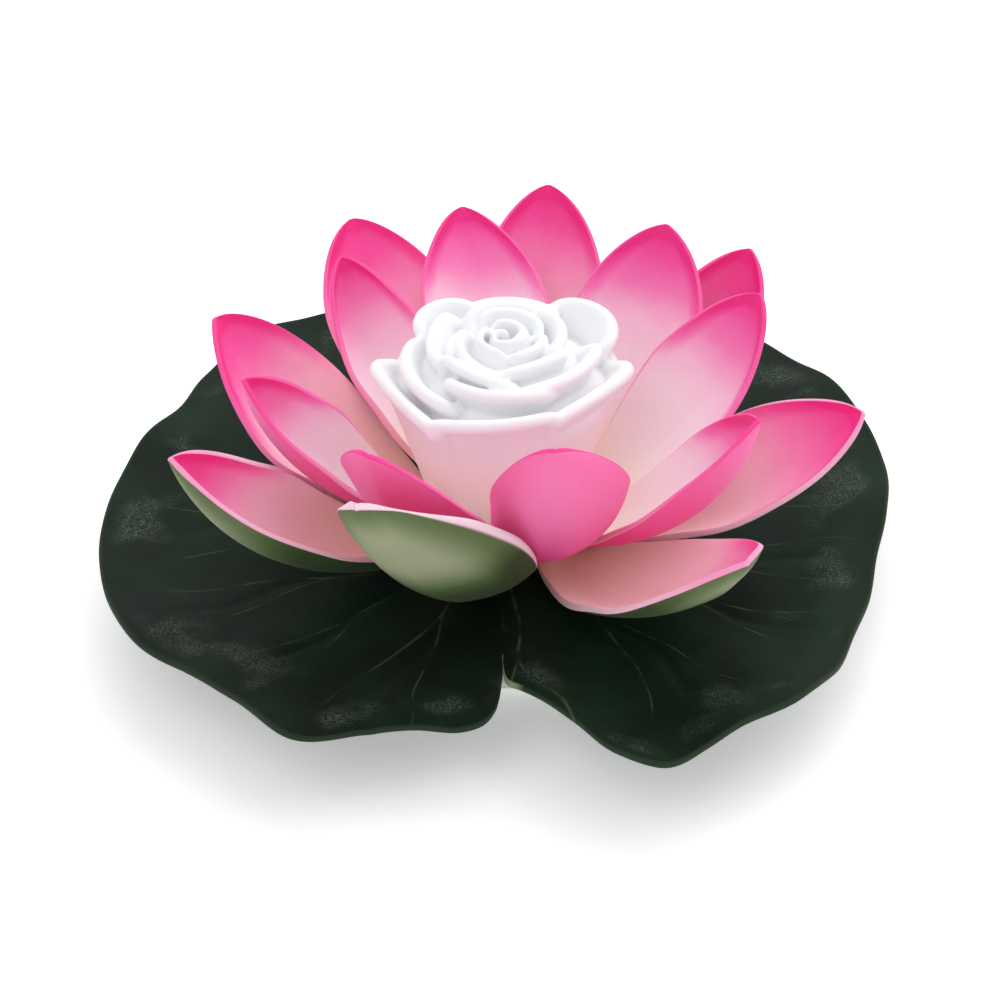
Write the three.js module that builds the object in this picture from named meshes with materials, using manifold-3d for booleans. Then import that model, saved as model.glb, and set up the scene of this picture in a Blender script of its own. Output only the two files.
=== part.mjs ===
// Floating pool light: a foam water-lily flower on a foam lily pad, lit from inside by a rose-shaped
// diffuser, on a sealed battery lamp with a foam float ring.
// Units are millimetres. The lamp axis is +Z, and z = 0 is the flat face that the lamp stands on.
import * as THREE from "three";
import { mergeVertices } from "three/addons/utils/BufferGeometryUtils.js";
import Module from "manifold-3d";

const wasm = await Module();
wasm.setup();

// ---------------------------------------------------------------- driving dimensions
const GAP = 0.3; // air left between two pieces that touch
const FIT = 0.4; // radial air between the collar and the rings stacked on it

const CASE_R = 40;
const CASE_WALL = 2;
const LOWER_CASE_TOP = 11.4;
const UPPER_CASE_BOTTOM = 12.6;
const CASE_TOP = 23.5;
const CASE_ROUNDING = 1;
const SCREW_BOSS_R = 3.2;
const SCREW_HOLE_R = 1.7;
const SCREW_HEAD_HOLE = { r: 2.9, depth: 2.2 };
const SCREW_HOLE_TOP = 18.8;
const SCREW_PLACES = [
  [35.2, 15],
  [35.2, 165],
  [34.5, 218],
  [34.5, 322],
]; // radius and azimuth of each case screw

const COLLAR_R = 21;
const COLLAR_WALL = 2;
const COLLAR_TOP = 43;
const LEDGE_R = 14.6;
const LEDGE_TOP = 38.6; // the LED board lies on this ledge

const PORT_Y = 6; // the battery port is set back to leave room for the switch
const PORT_R = 29.4;
const THREAD_BORE = { r: 29.9, top: 3.8 };
const PORT_COLLAR_TOP = 8;
const COVER_FACE = 0.8; // the cover sits this far inside the rest face
const COVER_R = 28.9;
const COVER_TOP = 6;
const COVER_PLATE_TOP = 3.2;
const COVER_RIM = 2.7;
const COVER_DISH = { r: 18, top: 2, gripHalfWidth: 2.6 }; // finger recess with a bar across it
const COVER_THREAD = { pitch: 2, turns: 0.8, start: 1.6, r: 0.6 };
const ORING = { r: 28.35, section: 0.6, z: 4.8 };
const ORING_GROOVE = { r: 27.45, bottom: 4, top: 5.6 };

const CELL_R = 5.25;
const CELL_LENGTH = 44.5;
const CELL_SPACING = 11.1;
const CELL_Z = 11.55;
const CRADLE_WALL = 1.5;
const CRADLE_HALF_X = 26; // inside
const CRADLE_HALF_Y = 17.2; // inside

const BUTTON_Y = -31.8;
const BUTTON_HOLE_R = 3.9;
const PLUNGER = { r: 1.5, bottom: 5.4, top: 9 };
const SWITCH_HALF = 3.1;
const SWITCH_HEIGHT = 3.3;
const SWITCH_BORE = { r: 1.9, roof: 1.1 };
const BOARD = { x: 24, yFront: -35, yBack: -15, z: 12, thickness: 1.2 };
const LED_BOARD = { r: 18.6, z: 38.9, thickness: 1.2, holeR: 1.25 };
const LED_CIRCLE_R = 9;
const LED_SCREW_X = 16.6;
const LED_SCREW_PILOT_R = 1.3;

const FLOAT_R = 65;
const LEAF_Z = 25;
const FOAM = 2; // sheet foam of the leaf and of the two tier discs
const PETAL_FOAM = 2.2;

const OUTER_PETAL_Z = 29.7;
const INNER_PETAL_Z = 34.5;
const PETAL_ROOT_R = 25; // the flat root tab ends here and the petal starts to rise
const PETAL_TAB_R = 22.3;

const ROUND = 32; // flats on a large round surface
const TAU = 2 * Math.PI;
const radians = THREE.MathUtils.degToRad;
const lerp = THREE.MathUtils.lerp;

// ---------------------------------------------------------------- materials
function material(color, roughness, metalness = 0) {
  return new THREE.MeshStandardMaterial({ color, roughness, metalness });
}

const LEAF_FOAM = material(0x1f3a26, 0.55);
const FLOAT_FOAM = material(0xe9ece6, 0.85);
const TIER_FOAM = material(0xf2c9b4, 0.8);
const OUTER_PETAL_FOAM = material(0xf07fae, 0.7);
const INNER_PETAL_FOAM = material(0xef5f9f, 0.7);
const WHITE_PLASTIC = material(0xf1f1ee, 0.5);
const DIFFUSER_PLASTIC = material(0xfafafa, 0.35);
const GREY_PLASTIC = material(0x8e9296, 0.6);
const BLACK_PLASTIC = material(0x1b1b1d, 0.55);
const SILICONE = material(0xdedbd4, 0.6);
const SEAL_RUBBER = material(0x2a2a2a, 0.8);
const STEEL = material(0xb9bcc0, 0.35, 0.9);
const CELL_WRAP = material(0x2f6fb0, 0.4, 0.2);
const CIRCUIT_BOARD = material(0x1d6a3a, 0.5);
const CLEAR_EPOXY = material(0xeef4ff, 0.1);
const RED_WIRE = material(0xb3202a, 0.5);
const BLACK_WIRE = material(0x161616, 0.5);

// ---------------------------------------------------------------- geometry helpers
// Position-only copy of a geometry, with shared vertices merged and every face turned outwards.
function outward(geometry) {
  const bare = new THREE.BufferGeometry();
  bare.setAttribute("position", geometry.getAttribute("position"));
  if (geometry.index) {
    bare.setIndex(geometry.index);
  }
  const merged = mergeVertices(bare, 1e-4);
  const p = merged.getAttribute("position");
  const faces = [];
  const a = new THREE.Vector3();
  const b = new THREE.Vector3();
  const c = new THREE.Vector3();
  let volume = 0;
  for (let i = 0; i < merged.index.count; i += 3) {
    const [ia, ib, ic] = [0, 1, 2].map((k) => merged.index.getX(i + k));
    if (ia === ib || ib === ic || ic === ia) {
      continue;
    }
    a.fromBufferAttribute(p, ia);
    b.fromBufferAttribute(p, ib);
    c.fromBufferAttribute(p, ic);
    volume += a.dot(b.cross(c));
    faces.push([ia, ib, ic]);
  }
  merged.setIndex(faces.flatMap(([x, y, z]) => (volume < 0 ? [x, z, y] : [x, y, z])));
  return merged;
}

// Manifold solid of a closed geometry.
function solid(geometry) {
  const g = outward(geometry);
  const mesh = new wasm.Mesh({
    numProp: 3,
    vertProperties: new Float32Array(g.getAttribute("position").array),
    triVerts: new Uint32Array(g.index.array),
  });
  return new wasm.Manifold(mesh);
}

function geometryOf(manifold) {
  const mesh = manifold.getMesh();
  const g = new THREE.BufferGeometry();
  g.setAttribute("position", new THREE.BufferAttribute(mesh.vertProperties, 3));
  g.setIndex(new THREE.BufferAttribute(mesh.triVerts, 1));
  return g;
}

// Joins the first list of closed geometries, then cuts the second list out of them.
function carve(joined, cut = []) {
  const whole = joined.map(solid).reduce((sum, part) => sum.add(part));
  return geometryOf(cut.map(solid).reduce((rest, cutter) => rest.subtract(cutter), whole));
}

// Solid of revolution about Z. The profile is a list of [radius, z] that closes on itself,
// or that starts and ends on the axis.
function turned(profile, segments = ROUND) {
  const points = profile.map(([r, z]) => new THREE.Vector2(r, z));
  const onAxis = profile[0][0] === 0 && profile[profile.length - 1][0] === 0;
  if (!onAxis) {
    points.push(points[0].clone());
  }
  return new THREE.LatheGeometry(points, segments).rotateX(Math.PI / 2);
}

function ring(outer, inner, z0, z1, segments = 24) {
  const profile = [
    [inner, z0],
    [outer, z0],
    [outer, z1],
    [inner, z1],
  ];
  return turned(profile, segments);
}

function rod(radius, z0, z1, x = 0, y = 0, segments = 12) {
  const g = new THREE.CylinderGeometry(radius, radius, z1 - z0, segments);
  return g.rotateX(Math.PI / 2).translate(x, y, (z0 + z1) / 2);
}

function block(x0, x1, y0, y1, z0, z1) {
  const g = new THREE.BoxGeometry(x1 - x0, y1 - y0, z1 - z0);
  return g.translate((x0 + x1) / 2, (y0 + y1) / 2, (z0 + z1) / 2);
}

// Round bar that follows a curve.
function bar(curve, radius, sides, steps) {
  const section = new THREE.Shape();
  for (let k = 0; k < sides; k++) {
    const angle = (k / sides) * TAU;
    const [x, y] = [radius * Math.cos(angle), radius * Math.sin(angle)];
    if (k === 0) {
      section.moveTo(x, y);
    } else {
      section.lineTo(x, y);
    }
  }
  return new THREE.ExtrudeGeometry(section, { steps, extrudePath: curve, bevelEnabled: false });
}

// Helix about Z whose radius may taper, used for a thread and for the battery springs.
class Helix extends THREE.Curve {
  constructor(startRadius, endRadius, pitch, turns) {
    super();
    Object.assign(this, { startRadius, endRadius, pitch, turns });
  }

  getPoint(t, target = new THREE.Vector3()) {
    const angle = TAU * this.turns * t;
    const radius = lerp(this.startRadius, this.endRadius, t);
    const z = this.pitch * this.turns * t;
    return target.set(radius * Math.cos(angle), radius * Math.sin(angle), z);
  }
}

// Closed sheet of even thickness about a grid of middle-surface points. With wrap, the last column
// joins the first, so that the sheet is a ring.
function thickSheet(grid, thickness, wrap = false) {
  const rows = grid.length;
  const columns = grid[0].length;
  const column = (j) => (wrap ? (j + columns) % columns : THREE.MathUtils.clamp(j, 0, columns - 1));
  const row = (i) => THREE.MathUtils.clamp(i, 0, rows - 1);
  const positions = [];
  const along = new THREE.Vector3();
  const across = new THREE.Vector3();
  const normal = new THREE.Vector3();
  for (const side of [1, -1]) {
    for (let i = 0; i < rows; i++) {
      for (let j = 0; j < columns; j++) {
        along.subVectors(grid[row(i + 1)][j], grid[row(i - 1)][j]);
        across.subVectors(grid[i][column(j + 1)], grid[i][column(j - 1)]);
        normal.crossVectors(along, across).setLength((side * thickness) / 2);
        positions.push(...grid[i][j].clone().add(normal).toArray());
      }
    }
  }
  const top = (i, j) => i * columns + column(j);
  const bottom = (i, j) => rows * columns + top(i, j);
  const faces = [];
  const quad = (a, b, c, d) => faces.push(a, b, c, a, c, d);
  const strips = wrap ? columns : columns - 1;
  for (let i = 0; i < rows - 1; i++) {
    for (let j = 0; j < strips; j++) {
      quad(top(i, j), top(i + 1, j), top(i + 1, j + 1), top(i, j + 1));
      quad(bottom(i, j), bottom(i, j + 1), bottom(i + 1, j + 1), bottom(i + 1, j));
    }
  }
  for (let j = 0; j < strips; j++) {
    quad(top(0, j), top(0, j + 1), bottom(0, j + 1), bottom(0, j));
    quad(top(rows - 1, j + 1), top(rows - 1, j), bottom(rows - 1, j), bottom(rows - 1, j + 1));
  }
  if (!wrap) {
    const end = columns - 1;
    for (let i = 0; i < rows - 1; i++) {
      quad(top(i + 1, 0), top(i, 0), bottom(i, 0), bottom(i + 1, 0));
      quad(top(i, end), top(i + 1, end), bottom(i + 1, end), bottom(i, end));
    }
  }
  const g = new THREE.BufferGeometry();
  g.setAttribute("position", new THREE.Float32BufferAttribute(positions, 3));
  g.setIndex(faces);
  return g;
}

// ---------------------------------------------------------------- assembly
const light = new THREE.Group();

function place(name, geometry, finish) {
  const mesh = new THREE.Mesh(outward(geometry), finish);
  mesh.name = name;
  light.add(mesh);
  return mesh;
}

// ---------------------------------------------------------------- lamp case
function screwSpots() {
  return SCREW_PLACES.map(([radius, azimuth]) => {
    const angle = radians(azimuth);
    return [radius * Math.cos(angle), radius * Math.sin(angle)];
  });
}

const BOARD_POSTS = { x: 9.5, yFront: -32.5, yBack: -18, r: 1.6 };

function lowerCase() {
  const inner = CASE_R - CASE_WALL;
  const pan = turned([
    [0, 0],
    [CASE_R - CASE_ROUNDING, 0],
    [CASE_R, CASE_ROUNDING],
    [CASE_R, LOWER_CASE_TOP],
    [inner, LOWER_CASE_TOP],
    [inner, CASE_WALL],
    [0, CASE_WALL],
  ]);
  const portCollar = ring(PORT_R + 2, PORT_R, 1, PORT_COLLAR_TOP, ROUND).translate(0, PORT_Y, 0);
  const bosses = screwSpots().map(([x, y]) => rod(SCREW_BOSS_R, 1, LOWER_CASE_TOP, x, y));
  const posts = [-BOARD_POSTS.x, BOARD_POSTS.x].map((x) =>
    rod(BOARD_POSTS.r, 1, BOARD.z - GAP, x, BOARD_POSTS.yFront, 8),
  );
  const portBore = rod(PORT_R, -1, PORT_COLLAR_TOP + 1, 0, PORT_Y, ROUND);
  const threadBore = rod(THREAD_BORE.r, -1, THREAD_BORE.top, 0, PORT_Y, ROUND);
  const buttonHole = rod(BUTTON_HOLE_R, -1, CASE_WALL + 1, 0, BUTTON_Y);
  const holes = screwSpots().flatMap(([x, y]) => [
    rod(SCREW_HOLE_R, -1, LOWER_CASE_TOP + 1, x, y, 8),
    rod(SCREW_HEAD_HOLE.r, -1, SCREW_HEAD_HOLE.depth, x, y),
  ]);
  const outline = rod(CASE_R, 0, LOWER_CASE_TOP, 0, 0, ROUND);
  const joined = geometryOf(
    [pan, portCollar, ...bosses, ...posts]
      .map(solid)
      .reduce((sum, part) => sum.add(part))
      .intersect(solid(outline)),
  );
  return carve([joined], [portBore, threadBore, buttonHole, ...holes]);
}

function upperCase() {
  const inner = CASE_R - CASE_WALL;
  const bore = COLLAR_R - COLLAR_WALL;
  const roof = CASE_TOP - CASE_WALL;
  const shell = turned([
    [CASE_R, UPPER_CASE_BOTTOM],
    [CASE_R, CASE_TOP - CASE_ROUNDING],
    [CASE_R - CASE_ROUNDING, CASE_TOP],
    [COLLAR_R, CASE_TOP],
    [COLLAR_R, COLLAR_TOP - 0.6],
    [COLLAR_R - 0.6, COLLAR_TOP],
    [bore, COLLAR_TOP],
    [bore, LEDGE_TOP],
    [LEDGE_R, LEDGE_TOP],
    [LEDGE_R, LEDGE_TOP - CASE_WALL],
    [bore, LEDGE_TOP - 2 * CASE_WALL],
    [bore, roof],
    [inner, roof],
    [inner, UPPER_CASE_BOTTOM],
  ]);
  const bosses = screwSpots().map(([x, y]) => rod(SCREW_BOSS_R, UPPER_CASE_BOTTOM, roof + 1, x, y));
  const posts = [-BOARD_POSTS.x, BOARD_POSTS.x].map((x) =>
    rod(BOARD_POSTS.r, BOARD.z + BOARD.thickness + GAP, roof + 1, x, BOARD_POSTS.yBack - 2, 12),
  );
  const pilots = screwSpots().map(([x, y]) =>
    rod(SCREW_HOLE_R, UPPER_CASE_BOTTOM - 1, SCREW_HOLE_TOP, x, y, 8),
  );
  const ledScrewHoles = [-1, 1].map((side) =>
    rod(LED_SCREW_PILOT_R, LEDGE_TOP - 5, LEDGE_TOP + 1, side * LED_SCREW_X, 0, 8),
  );
  return carve([shell, ...bosses, ...posts], [...pilots, ...ledScrewHoles]);
}

function buildCase() {
  place("lower_case", lowerCase(), WHITE_PLASTIC);
  place("upper_case", upperCase(), WHITE_PLASTIC);
  const [sealBottom, sealTop] = [LOWER_CASE_TOP + GAP, UPPER_CASE_BOTTOM - GAP];
  place("case_seal", ring(CASE_R - 0.2, CASE_R - CASE_WALL + 0.2, sealBottom, sealTop), SEAL_RUBBER);
  screwSpots().forEach(([x, y], k) => {
    const screw = turned(
      [
        [0, 0.4],
        [2.5, 0.4],
        [2.5, 1.4],
        [1.35, 1.9],
        [1.35, 17.4],
        [0, 18.4],
      ],
      8,
    );
    const slots = [0, 1].map((q) => block(-1.6, 1.6, -0.35, 0.35, 0, 1.1).rotateZ((q * TAU) / 4));
    place(`case_screw_${k + 1}`, carve([screw], slots).translate(x, y, 0), STEEL);
  });
}

// ---------------------------------------------------------------- battery cover
function batteryCover() {
  const inner = COVER_R - COVER_RIM;
  const cap = turned([
    [0, COVER_FACE],
    [COVER_R - 0.6, COVER_FACE],
    [COVER_R, COVER_FACE + 0.6],
    [COVER_R, ORING_GROOVE.bottom],
    [ORING_GROOVE.r, ORING_GROOVE.bottom],
    [ORING_GROOVE.r, ORING_GROOVE.top],
    [COVER_R, ORING_GROOVE.top],
    [COVER_R, COVER_TOP],
    [inner, COVER_TOP],
    [inner, COVER_PLATE_TOP],
    [0, COVER_PLATE_TOP],
  ]);
  const { pitch, turns, start } = COVER_THREAD;
  const helix = new Helix(COVER_R - 0.1, COVER_R - 0.1, pitch, turns);
  const ridge = bar(helix, COVER_THREAD.r, 4, 16).translate(0, 0, start);
  const dish = rod(COVER_DISH.r, 0, COVER_DISH.top, 0, 0, 24);
  const halfBar = COVER_DISH.gripHalfWidth;
  const grip = block(-COVER_R, COVER_R, -halfBar, halfBar, 0, COVER_PLATE_TOP);
  const recess = geometryOf(solid(dish).subtract(solid(grip)));
  return carve([cap, ridge], [recess]).translate(0, PORT_Y, 0);
}

function buildBatteryCover() {
  place("battery_cover", batteryCover(), WHITE_PLASTIC);
  const oring = new THREE.TorusGeometry(ORING.r, ORING.section, 6, ROUND);
  place("cover_oring", oring.translate(0, PORT_Y, ORING.z), SEAL_RUBBER);
}

// ---------------------------------------------------------------- battery bay
const CELL_NUB = { r: 1.9, length: 1.1 };
const CELL_NUB_END = 24.9;
const PLATE_FACE = 25.2;
const PLATE_THICKNESS = 0.5;
const PLATE_HALF_WIDTH = 4.4;
const LEAD_HOLE_R = 1.1;
const BATTERY_SPRING = { startR: 4, endR: 2.2, pitch: 1.35, turns: 3, wireR: 0.4, clearance: 0.75 };
const cellY = (k) => PORT_Y + (k - 1) * CELL_SPACING;
const cellSide = (k) => (k % 2 === 0 ? 1 : -1); // the way the positive end points

function cradle() {
  const bottom = PORT_COLLAR_TOP + GAP;
  const roof = CELL_Z + CELL_R + GAP;
  const x = CRADLE_HALF_X;
  const y = CRADLE_HALF_Y;
  const t = CRADLE_WALL;
  const box = block(-x - t, x + t, -y - t, y + t, bottom, roof + t).translate(0, PORT_Y, 0);
  const hollow = block(-x, x, -y, y, bottom - 1, roof).translate(0, PORT_Y, 0);
  const leadHoles = [
    rod(LEAD_HOLE_R, roof - 1, roof + t + 1, PLATE_FACE, cellY(0), 8),
    rod(LEAD_HOLE_R, roof - 1, roof + t + 1, -PLATE_FACE, cellY(2), 8),
  ];
  return carve([box], [hollow, ...leadHoles]);
}

function cell() {
  const body = CELL_LENGTH - CELL_NUB.length;
  const profile = [
    [0, 0],
    [CELL_R - 0.5, 0],
    [CELL_R, 0.5],
    [CELL_R, body - 0.5],
    [CELL_R - 0.6, body],
    [CELL_NUB.r, body],
    [CELL_NUB.r, CELL_LENGTH],
    [0, CELL_LENGTH],
  ];
  return turned(profile, 16).rotateY(Math.PI / 2).translate(CELL_NUB_END - CELL_LENGTH, 0, 0);
}

function buildBatteryBay() {
  place("battery_cradle", cradle(), BLACK_PLASTIC);
  for (let k = 0; k < 3; k++) {
    const turn = cellSide(k) > 0 ? 0 : Math.PI;
    place(`cell_${k + 1}`, cell().rotateZ(turn).translate(0, cellY(k), CELL_Z), CELL_WRAP);
    const { startR, endR, pitch, turns, wireR, clearance } = BATTERY_SPRING;
    const spring = bar(new Helix(startR, endR, pitch, turns), wireR, 4, 24);
    spring.translate(0, 0, clearance - PLATE_FACE).rotateY(Math.PI / 2);
    place(`battery_spring_${k + 1}`, spring.rotateZ(turn).translate(0, cellY(k), CELL_Z), STEEL);
  }
  // Terminal and bridge plates: [side, first cell, last cell]
  const plates = [
    [1, 0, 0],
    [-1, 0, 1],
    [1, 1, 2],
    [-1, 2, 2],
  ];
  plates.forEach(([side, first, last], k) => {
    const [near, far] = [side * PLATE_FACE, side * (PLATE_FACE + PLATE_THICKNESS)];
    const plate = block(
      Math.min(near, far),
      Math.max(near, far),
      cellY(first) - PLATE_HALF_WIDTH,
      cellY(last) + PLATE_HALF_WIDTH,
      CELL_Z - 3,
      CELL_Z + 4,
    );
    place(`contact_plate_${k + 1}`, plate, STEEL);
  });
}

// ---------------------------------------------------------------- control board, switch and wires
function buildControls() {
  const half = BOARD.x / 2;
  const top = BOARD.z + BOARD.thickness;
  const boardTop = top + GAP;
  place("control_board", block(-half, half, BOARD.yFront, BOARD.yBack, BOARD.z, top), CIRCUIT_BOARD);
  place("controller_chip", block(-7, -1, -27, -22, boardTop, boardTop + 1.4), BLACK_PLASTIC);
  place("dropper_resistor", block(3, 6.4, -26, -24, boardTop, boardTop + 0.8), BLACK_PLASTIC);

  const [side, switchTop] = [SWITCH_HALF, BOARD.z - GAP];
  const switchBottom = switchTop - SWITCH_HEIGHT;
  const body = block(-side, side, BUTTON_Y - side, BUTTON_Y + side, switchBottom, switchTop);
  const bore = rod(SWITCH_BORE.r, switchBottom - 1, switchTop - SWITCH_BORE.roof, 0, BUTTON_Y);
  place("switch_body", carve([body], [bore]), BLACK_PLASTIC);
  place("switch_plunger", rod(PLUNGER.r, PLUNGER.bottom, PLUNGER.top, 0, BUTTON_Y), GREY_PLASTIC);

  const cap = turned(
    [
      [0, 0.5],
      [2.6, 0.6],
      [3.5, 1.2],
      [3.5, 2.3],
      [5.2, 2.3],
      [5.2, 3.3],
      [3.5, 3.3],
      [3.5, 5.1],
      [0, 5.1],
    ],
    16,
  );
  place("power_button", cap.translate(0, BUTTON_Y, 0), SILICONE);
}

function lead(name, points, finish) {
  const route = new THREE.CatmullRomCurve3(points.map((p) => new THREE.Vector3(...p)));
  place(name, bar(route, 0.5, 6, 3 * (points.length - 1)), finish);
}

function buildLeads() {
  for (const [side, name, finish] of [
    [1, "led_wire_red", RED_WIRE],
    [-1, "led_wire_black", BLACK_WIRE],
  ]) {
    const route = [
      [3 * side, -16.6, 13.6],
      [3.2 * side, -16.2, 18],
      [3.4 * side, -13.6, 25],
      [2.8 * side, -10.5, 31],
      [2.6 * side, -8.6, 36],
      [2.6 * side, -8.2, 38.5],
    ];
    lead(name, route, finish);
  }
  const positive = [
    [25.3, -5.1, 15.9],
    [25.2, -5.2, 18.6],
    [23.4, -8.5, 20.1],
    [15, -13.6, 19.9],
    [8.5, -16.2, 17.5],
    [7.2, -16.8, 13.6],
  ];
  const negative = [
    [-25.3, 17.1, 15.9],
    [-25.2, 17, 18.6],
    [-24.4, 13, 20.1],
    [-23, -4, 20.1],
    [-15, -13.6, 19.9],
    [-8.5, -16.2, 17.5],
    [-7.2, -16.8, 13.6],
  ];
  lead("battery_lead_red", positive, RED_WIRE);
  lead("battery_lead_black", negative, BLACK_WIRE);
}

// ---------------------------------------------------------------- LED board
function buildLedBoard() {
  const top = LED_BOARD.z + LED_BOARD.thickness;
  const disc = rod(LED_BOARD.r, LED_BOARD.z, top, 0, 0, 28);
  const holes = [-1, 1].map((side) =>
    rod(LED_BOARD.holeR, LED_BOARD.z - 1, top + 1, side * LED_SCREW_X, 0, 8),
  );
  place("led_board", carve([disc], holes), WHITE_PLASTIC);
  const dome = [
    [0, top + GAP],
    [2.9, top + GAP],
    [2.9, top + 1.3],
    [2.5, top + 1.3],
    [2.5, top + 3.6],
    [2.1, top + 4.9],
    [1.2, top + 5.8],
    [0, top + 6.1],
  ];
  for (let k = 0; k < 3; k++) {
    const angle = radians(90 + 120 * k);
    const [x, y] = [LED_CIRCLE_R * Math.cos(angle), LED_CIRCLE_R * Math.sin(angle)];
    place(`led_${k + 1}`, turned(dome, 12).translate(x, y, 0), CLEAR_EPOXY);
  }
  [-1, 1].forEach((side, k) => {
    const screw = turned(
      [
        [0, LEDGE_TOP - 1.8],
        [0.9, LEDGE_TOP - 1.4],
        [0.9, top + GAP],
        [1.8, top + GAP],
        [1.6, top + 1.2],
        [0, top + 1.4],
      ],
      8,
    );
    place(`led_board_screw_${k + 1}`, screw.translate(side * LED_SCREW_X, 0, 0), STEEL);
  });
}

// ---------------------------------------------------------------- float ring and leaf
function buildFloat() {
  const inner = CASE_R + FIT;
  const profile = [
    [inner, 3],
    [FLOAT_R - 4, 3],
    [FLOAT_R - 1.2, 4.2],
    [FLOAT_R, 7],
    [FLOAT_R, 20],
    [FLOAT_R - 1.2, 22.6],
    [FLOAT_R - 3, 23.6],
    [inner, 23.6],
  ];
  place("float_ring", turned(profile), FLOAT_FOAM);
}

// Outline of the leaf as [azimuth in degrees, radius]: five shallow lobes and a slit towards -Y.
const LEAF_OUTLINE = [
  [0, 135],
  [12, 140.5],
  [30, 146.5],
  [45, 149.5],
  [60, 149],
  [75, 143],
  [90, 139.5],
  [105, 143],
  [120, 151],
  [132, 150],
  [142, 142.5],
  [152, 135.5],
  [163, 138],
  [175, 139.5],
  [187, 141.5],
  [200, 143],
  [210, 143],
  [220, 136.5],
  [230, 136.5],
  [241, 142.5],
  [249, 126],
  [256, 117.5],
  [263, 115.5],
  [266.5, 111.5],
  [268.4, 104],
  [269.2, 94],
  [270, 74],
  [271, 88],
  [274, 91.5],
  [278, 99.5],
  [282, 114.5],
  [285.5, 136],
  [290, 147.5],
  [297, 143.5],
  [304, 140.5],
  [312, 143.5],
  [321, 141],
  [330, 135.5],
  [340, 133],
  [350, 131.5],
];

// Height of the leaf's middle surface: a shallow dish with waves that grow towards the edge.
function leafHeight(radius, angle) {
  const dish = 7 * Math.max(0, (radius - 30) / 110) ** 2;
  const reach = (radius / 140) ** 4;
  const waves = 1.8 * Math.sin(5 * angle + 0.4) + 1.1 * Math.sin(9 * angle + 2);
  return LEAF_Z + dish + reach * waves;
}

function leaf() {
  const spots = LEAF_OUTLINE.map(([azimuth, radius]) => {
    const angle = radians(azimuth);
    return new THREE.Vector3(radius * Math.cos(angle), radius * Math.sin(angle), 0);
  });
  const edge = new THREE.CatmullRomCurve3(spots, true, "centripetal");
  const columns = 2 * LEAF_OUTLINE.length;
  const hole = COLLAR_R + FIT;
  const rings = [0, 0.3, 0.62, 0.86, 1];
  return rings.map((share) => {
    const row = [];
    for (let k = 0; k < columns; k++) {
      const tip = edge.getPoint(k / columns);
      const angle = Math.atan2(tip.y, tip.x);
      const radius = lerp(hole, Math.hypot(tip.x, tip.y), share);
      row.push(
        new THREE.Vector3(radius * Math.cos(angle), radius * Math.sin(angle), leafHeight(radius, angle)),
      );
    }
    return row;
  });
}

// ---------------------------------------------------------------- petals
const ROOT_SHARE = 0.22; // root width as a share of the full width
const WIDEST_AT = 0.56; // share of the length at which a petal is widest
const TIP_SHARE = 0.035; // the tip is this blunt
const TAPER_START = 1.9; // how gently the petal narrows past its widest place
const TAPER_END = 0.66; // below 1, so that the tip is round
const LAP = 9; // degrees that each root is rolled, so that one edge lies over its neighbour

// Azimuth; length and width; inclination at root and tip; cup, roll and sweep, all angles in degrees.
// Skew is the share by which one half is cupped more than the other.
const OUTER_PETALS = [
  { azimuth: 37, length: 118.5, width: 54, root: 3.5, tip: 68, cup: 64, roll: 21, sweep: 3, skew: 0.1 },
  { azimuth: 81, length: 120.5, width: 55, root: 11, tip: 57.5, cup: 52, roll: 8, sweep: 1, skew: 0 },
  { azimuth: 118, length: 116.5, width: 58, root: 10.5, tip: 50, cup: 47, roll: -2.5, sweep: -1, skew: 0.1 },
  { azimuth: 163, length: 106.5, width: 64, root: 8, tip: 65, cup: 32, roll: 3, sweep: -2.5, skew: -0.2 },
  { azimuth: 212, length: 132, width: 55, root: 1, tip: 70, cup: 94, roll: -30, sweep: 0, skew: -0.1 },
  { azimuth: 262, length: 119.5, width: 60.5, root: 5.5, tip: 82, cup: 73, roll: 6, sweep: -15, skew: -0.2 },
  { azimuth: 311, length: 126, width: 60, root: -3, tip: 61.5, cup: 41, roll: 3, sweep: -5, skew: -0.1 },
  { azimuth: 353, length: 115, width: 54, root: 4.5, tip: 53, cup: 57, roll: 30, sweep: 1, skew: -0.1 },
];
const INNER_PETALS = [
  { azimuth: 11, length: 102, width: 49.5, root: 22.5, tip: 72.5, cup: 56, roll: 29, sweep: 4, skew: 0.1 },
  { azimuth: 46.5, length: 103, width: 53.5, root: 20, tip: 74, cup: 39, roll: 21.5, sweep: 4, skew: 0 },
  { azimuth: 93.5, length: 100.5, width: 52, root: 22.5, tip: 58, cup: 54, roll: 9.5, sweep: 5, skew: 0 },
  { azimuth: 135.5, length: 90.5, width: 47.5, root: 26, tip: 70, cup: 88, roll: -14, sweep: -2, skew: -0.1 },
  { azimuth: 192, length: 98.5, width: 47, root: 20, tip: 74.5, cup: 85, roll: -20, sweep: 3.5, skew: -0.2 },
  { azimuth: 243.2, length: 100, width: 52.5, root: 27, tip: 73.5, cup: 42, roll: -6, sweep: -2.5, skew: 0 },
  { azimuth: 292, length: 104.5, width: 60, root: 18, tip: 92, cup: 76, roll: -17.5, sweep: -8, skew: 0 },
  { azimuth: 329, length: 109, width: 50, root: 12.5, tip: 77, cup: 72, roll: 22.5, sweep: -1.5, skew: -0.1 },
];

function petalHalfWidth(petal, u) {
  if (u <= WIDEST_AT) {
    const swell = Math.sin((Math.PI / 2) * Math.max(u / WIDEST_AT, 0));
    return (petal.width / 2) * lerp(ROOT_SHARE, 1, swell);
  }
  const t = (u - WIDEST_AT) / (1 - WIDEST_AT);
  return (petal.width / 2) * Math.max((1 - t ** TAPER_START) ** TAPER_END, TIP_SHARE);
}

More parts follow.
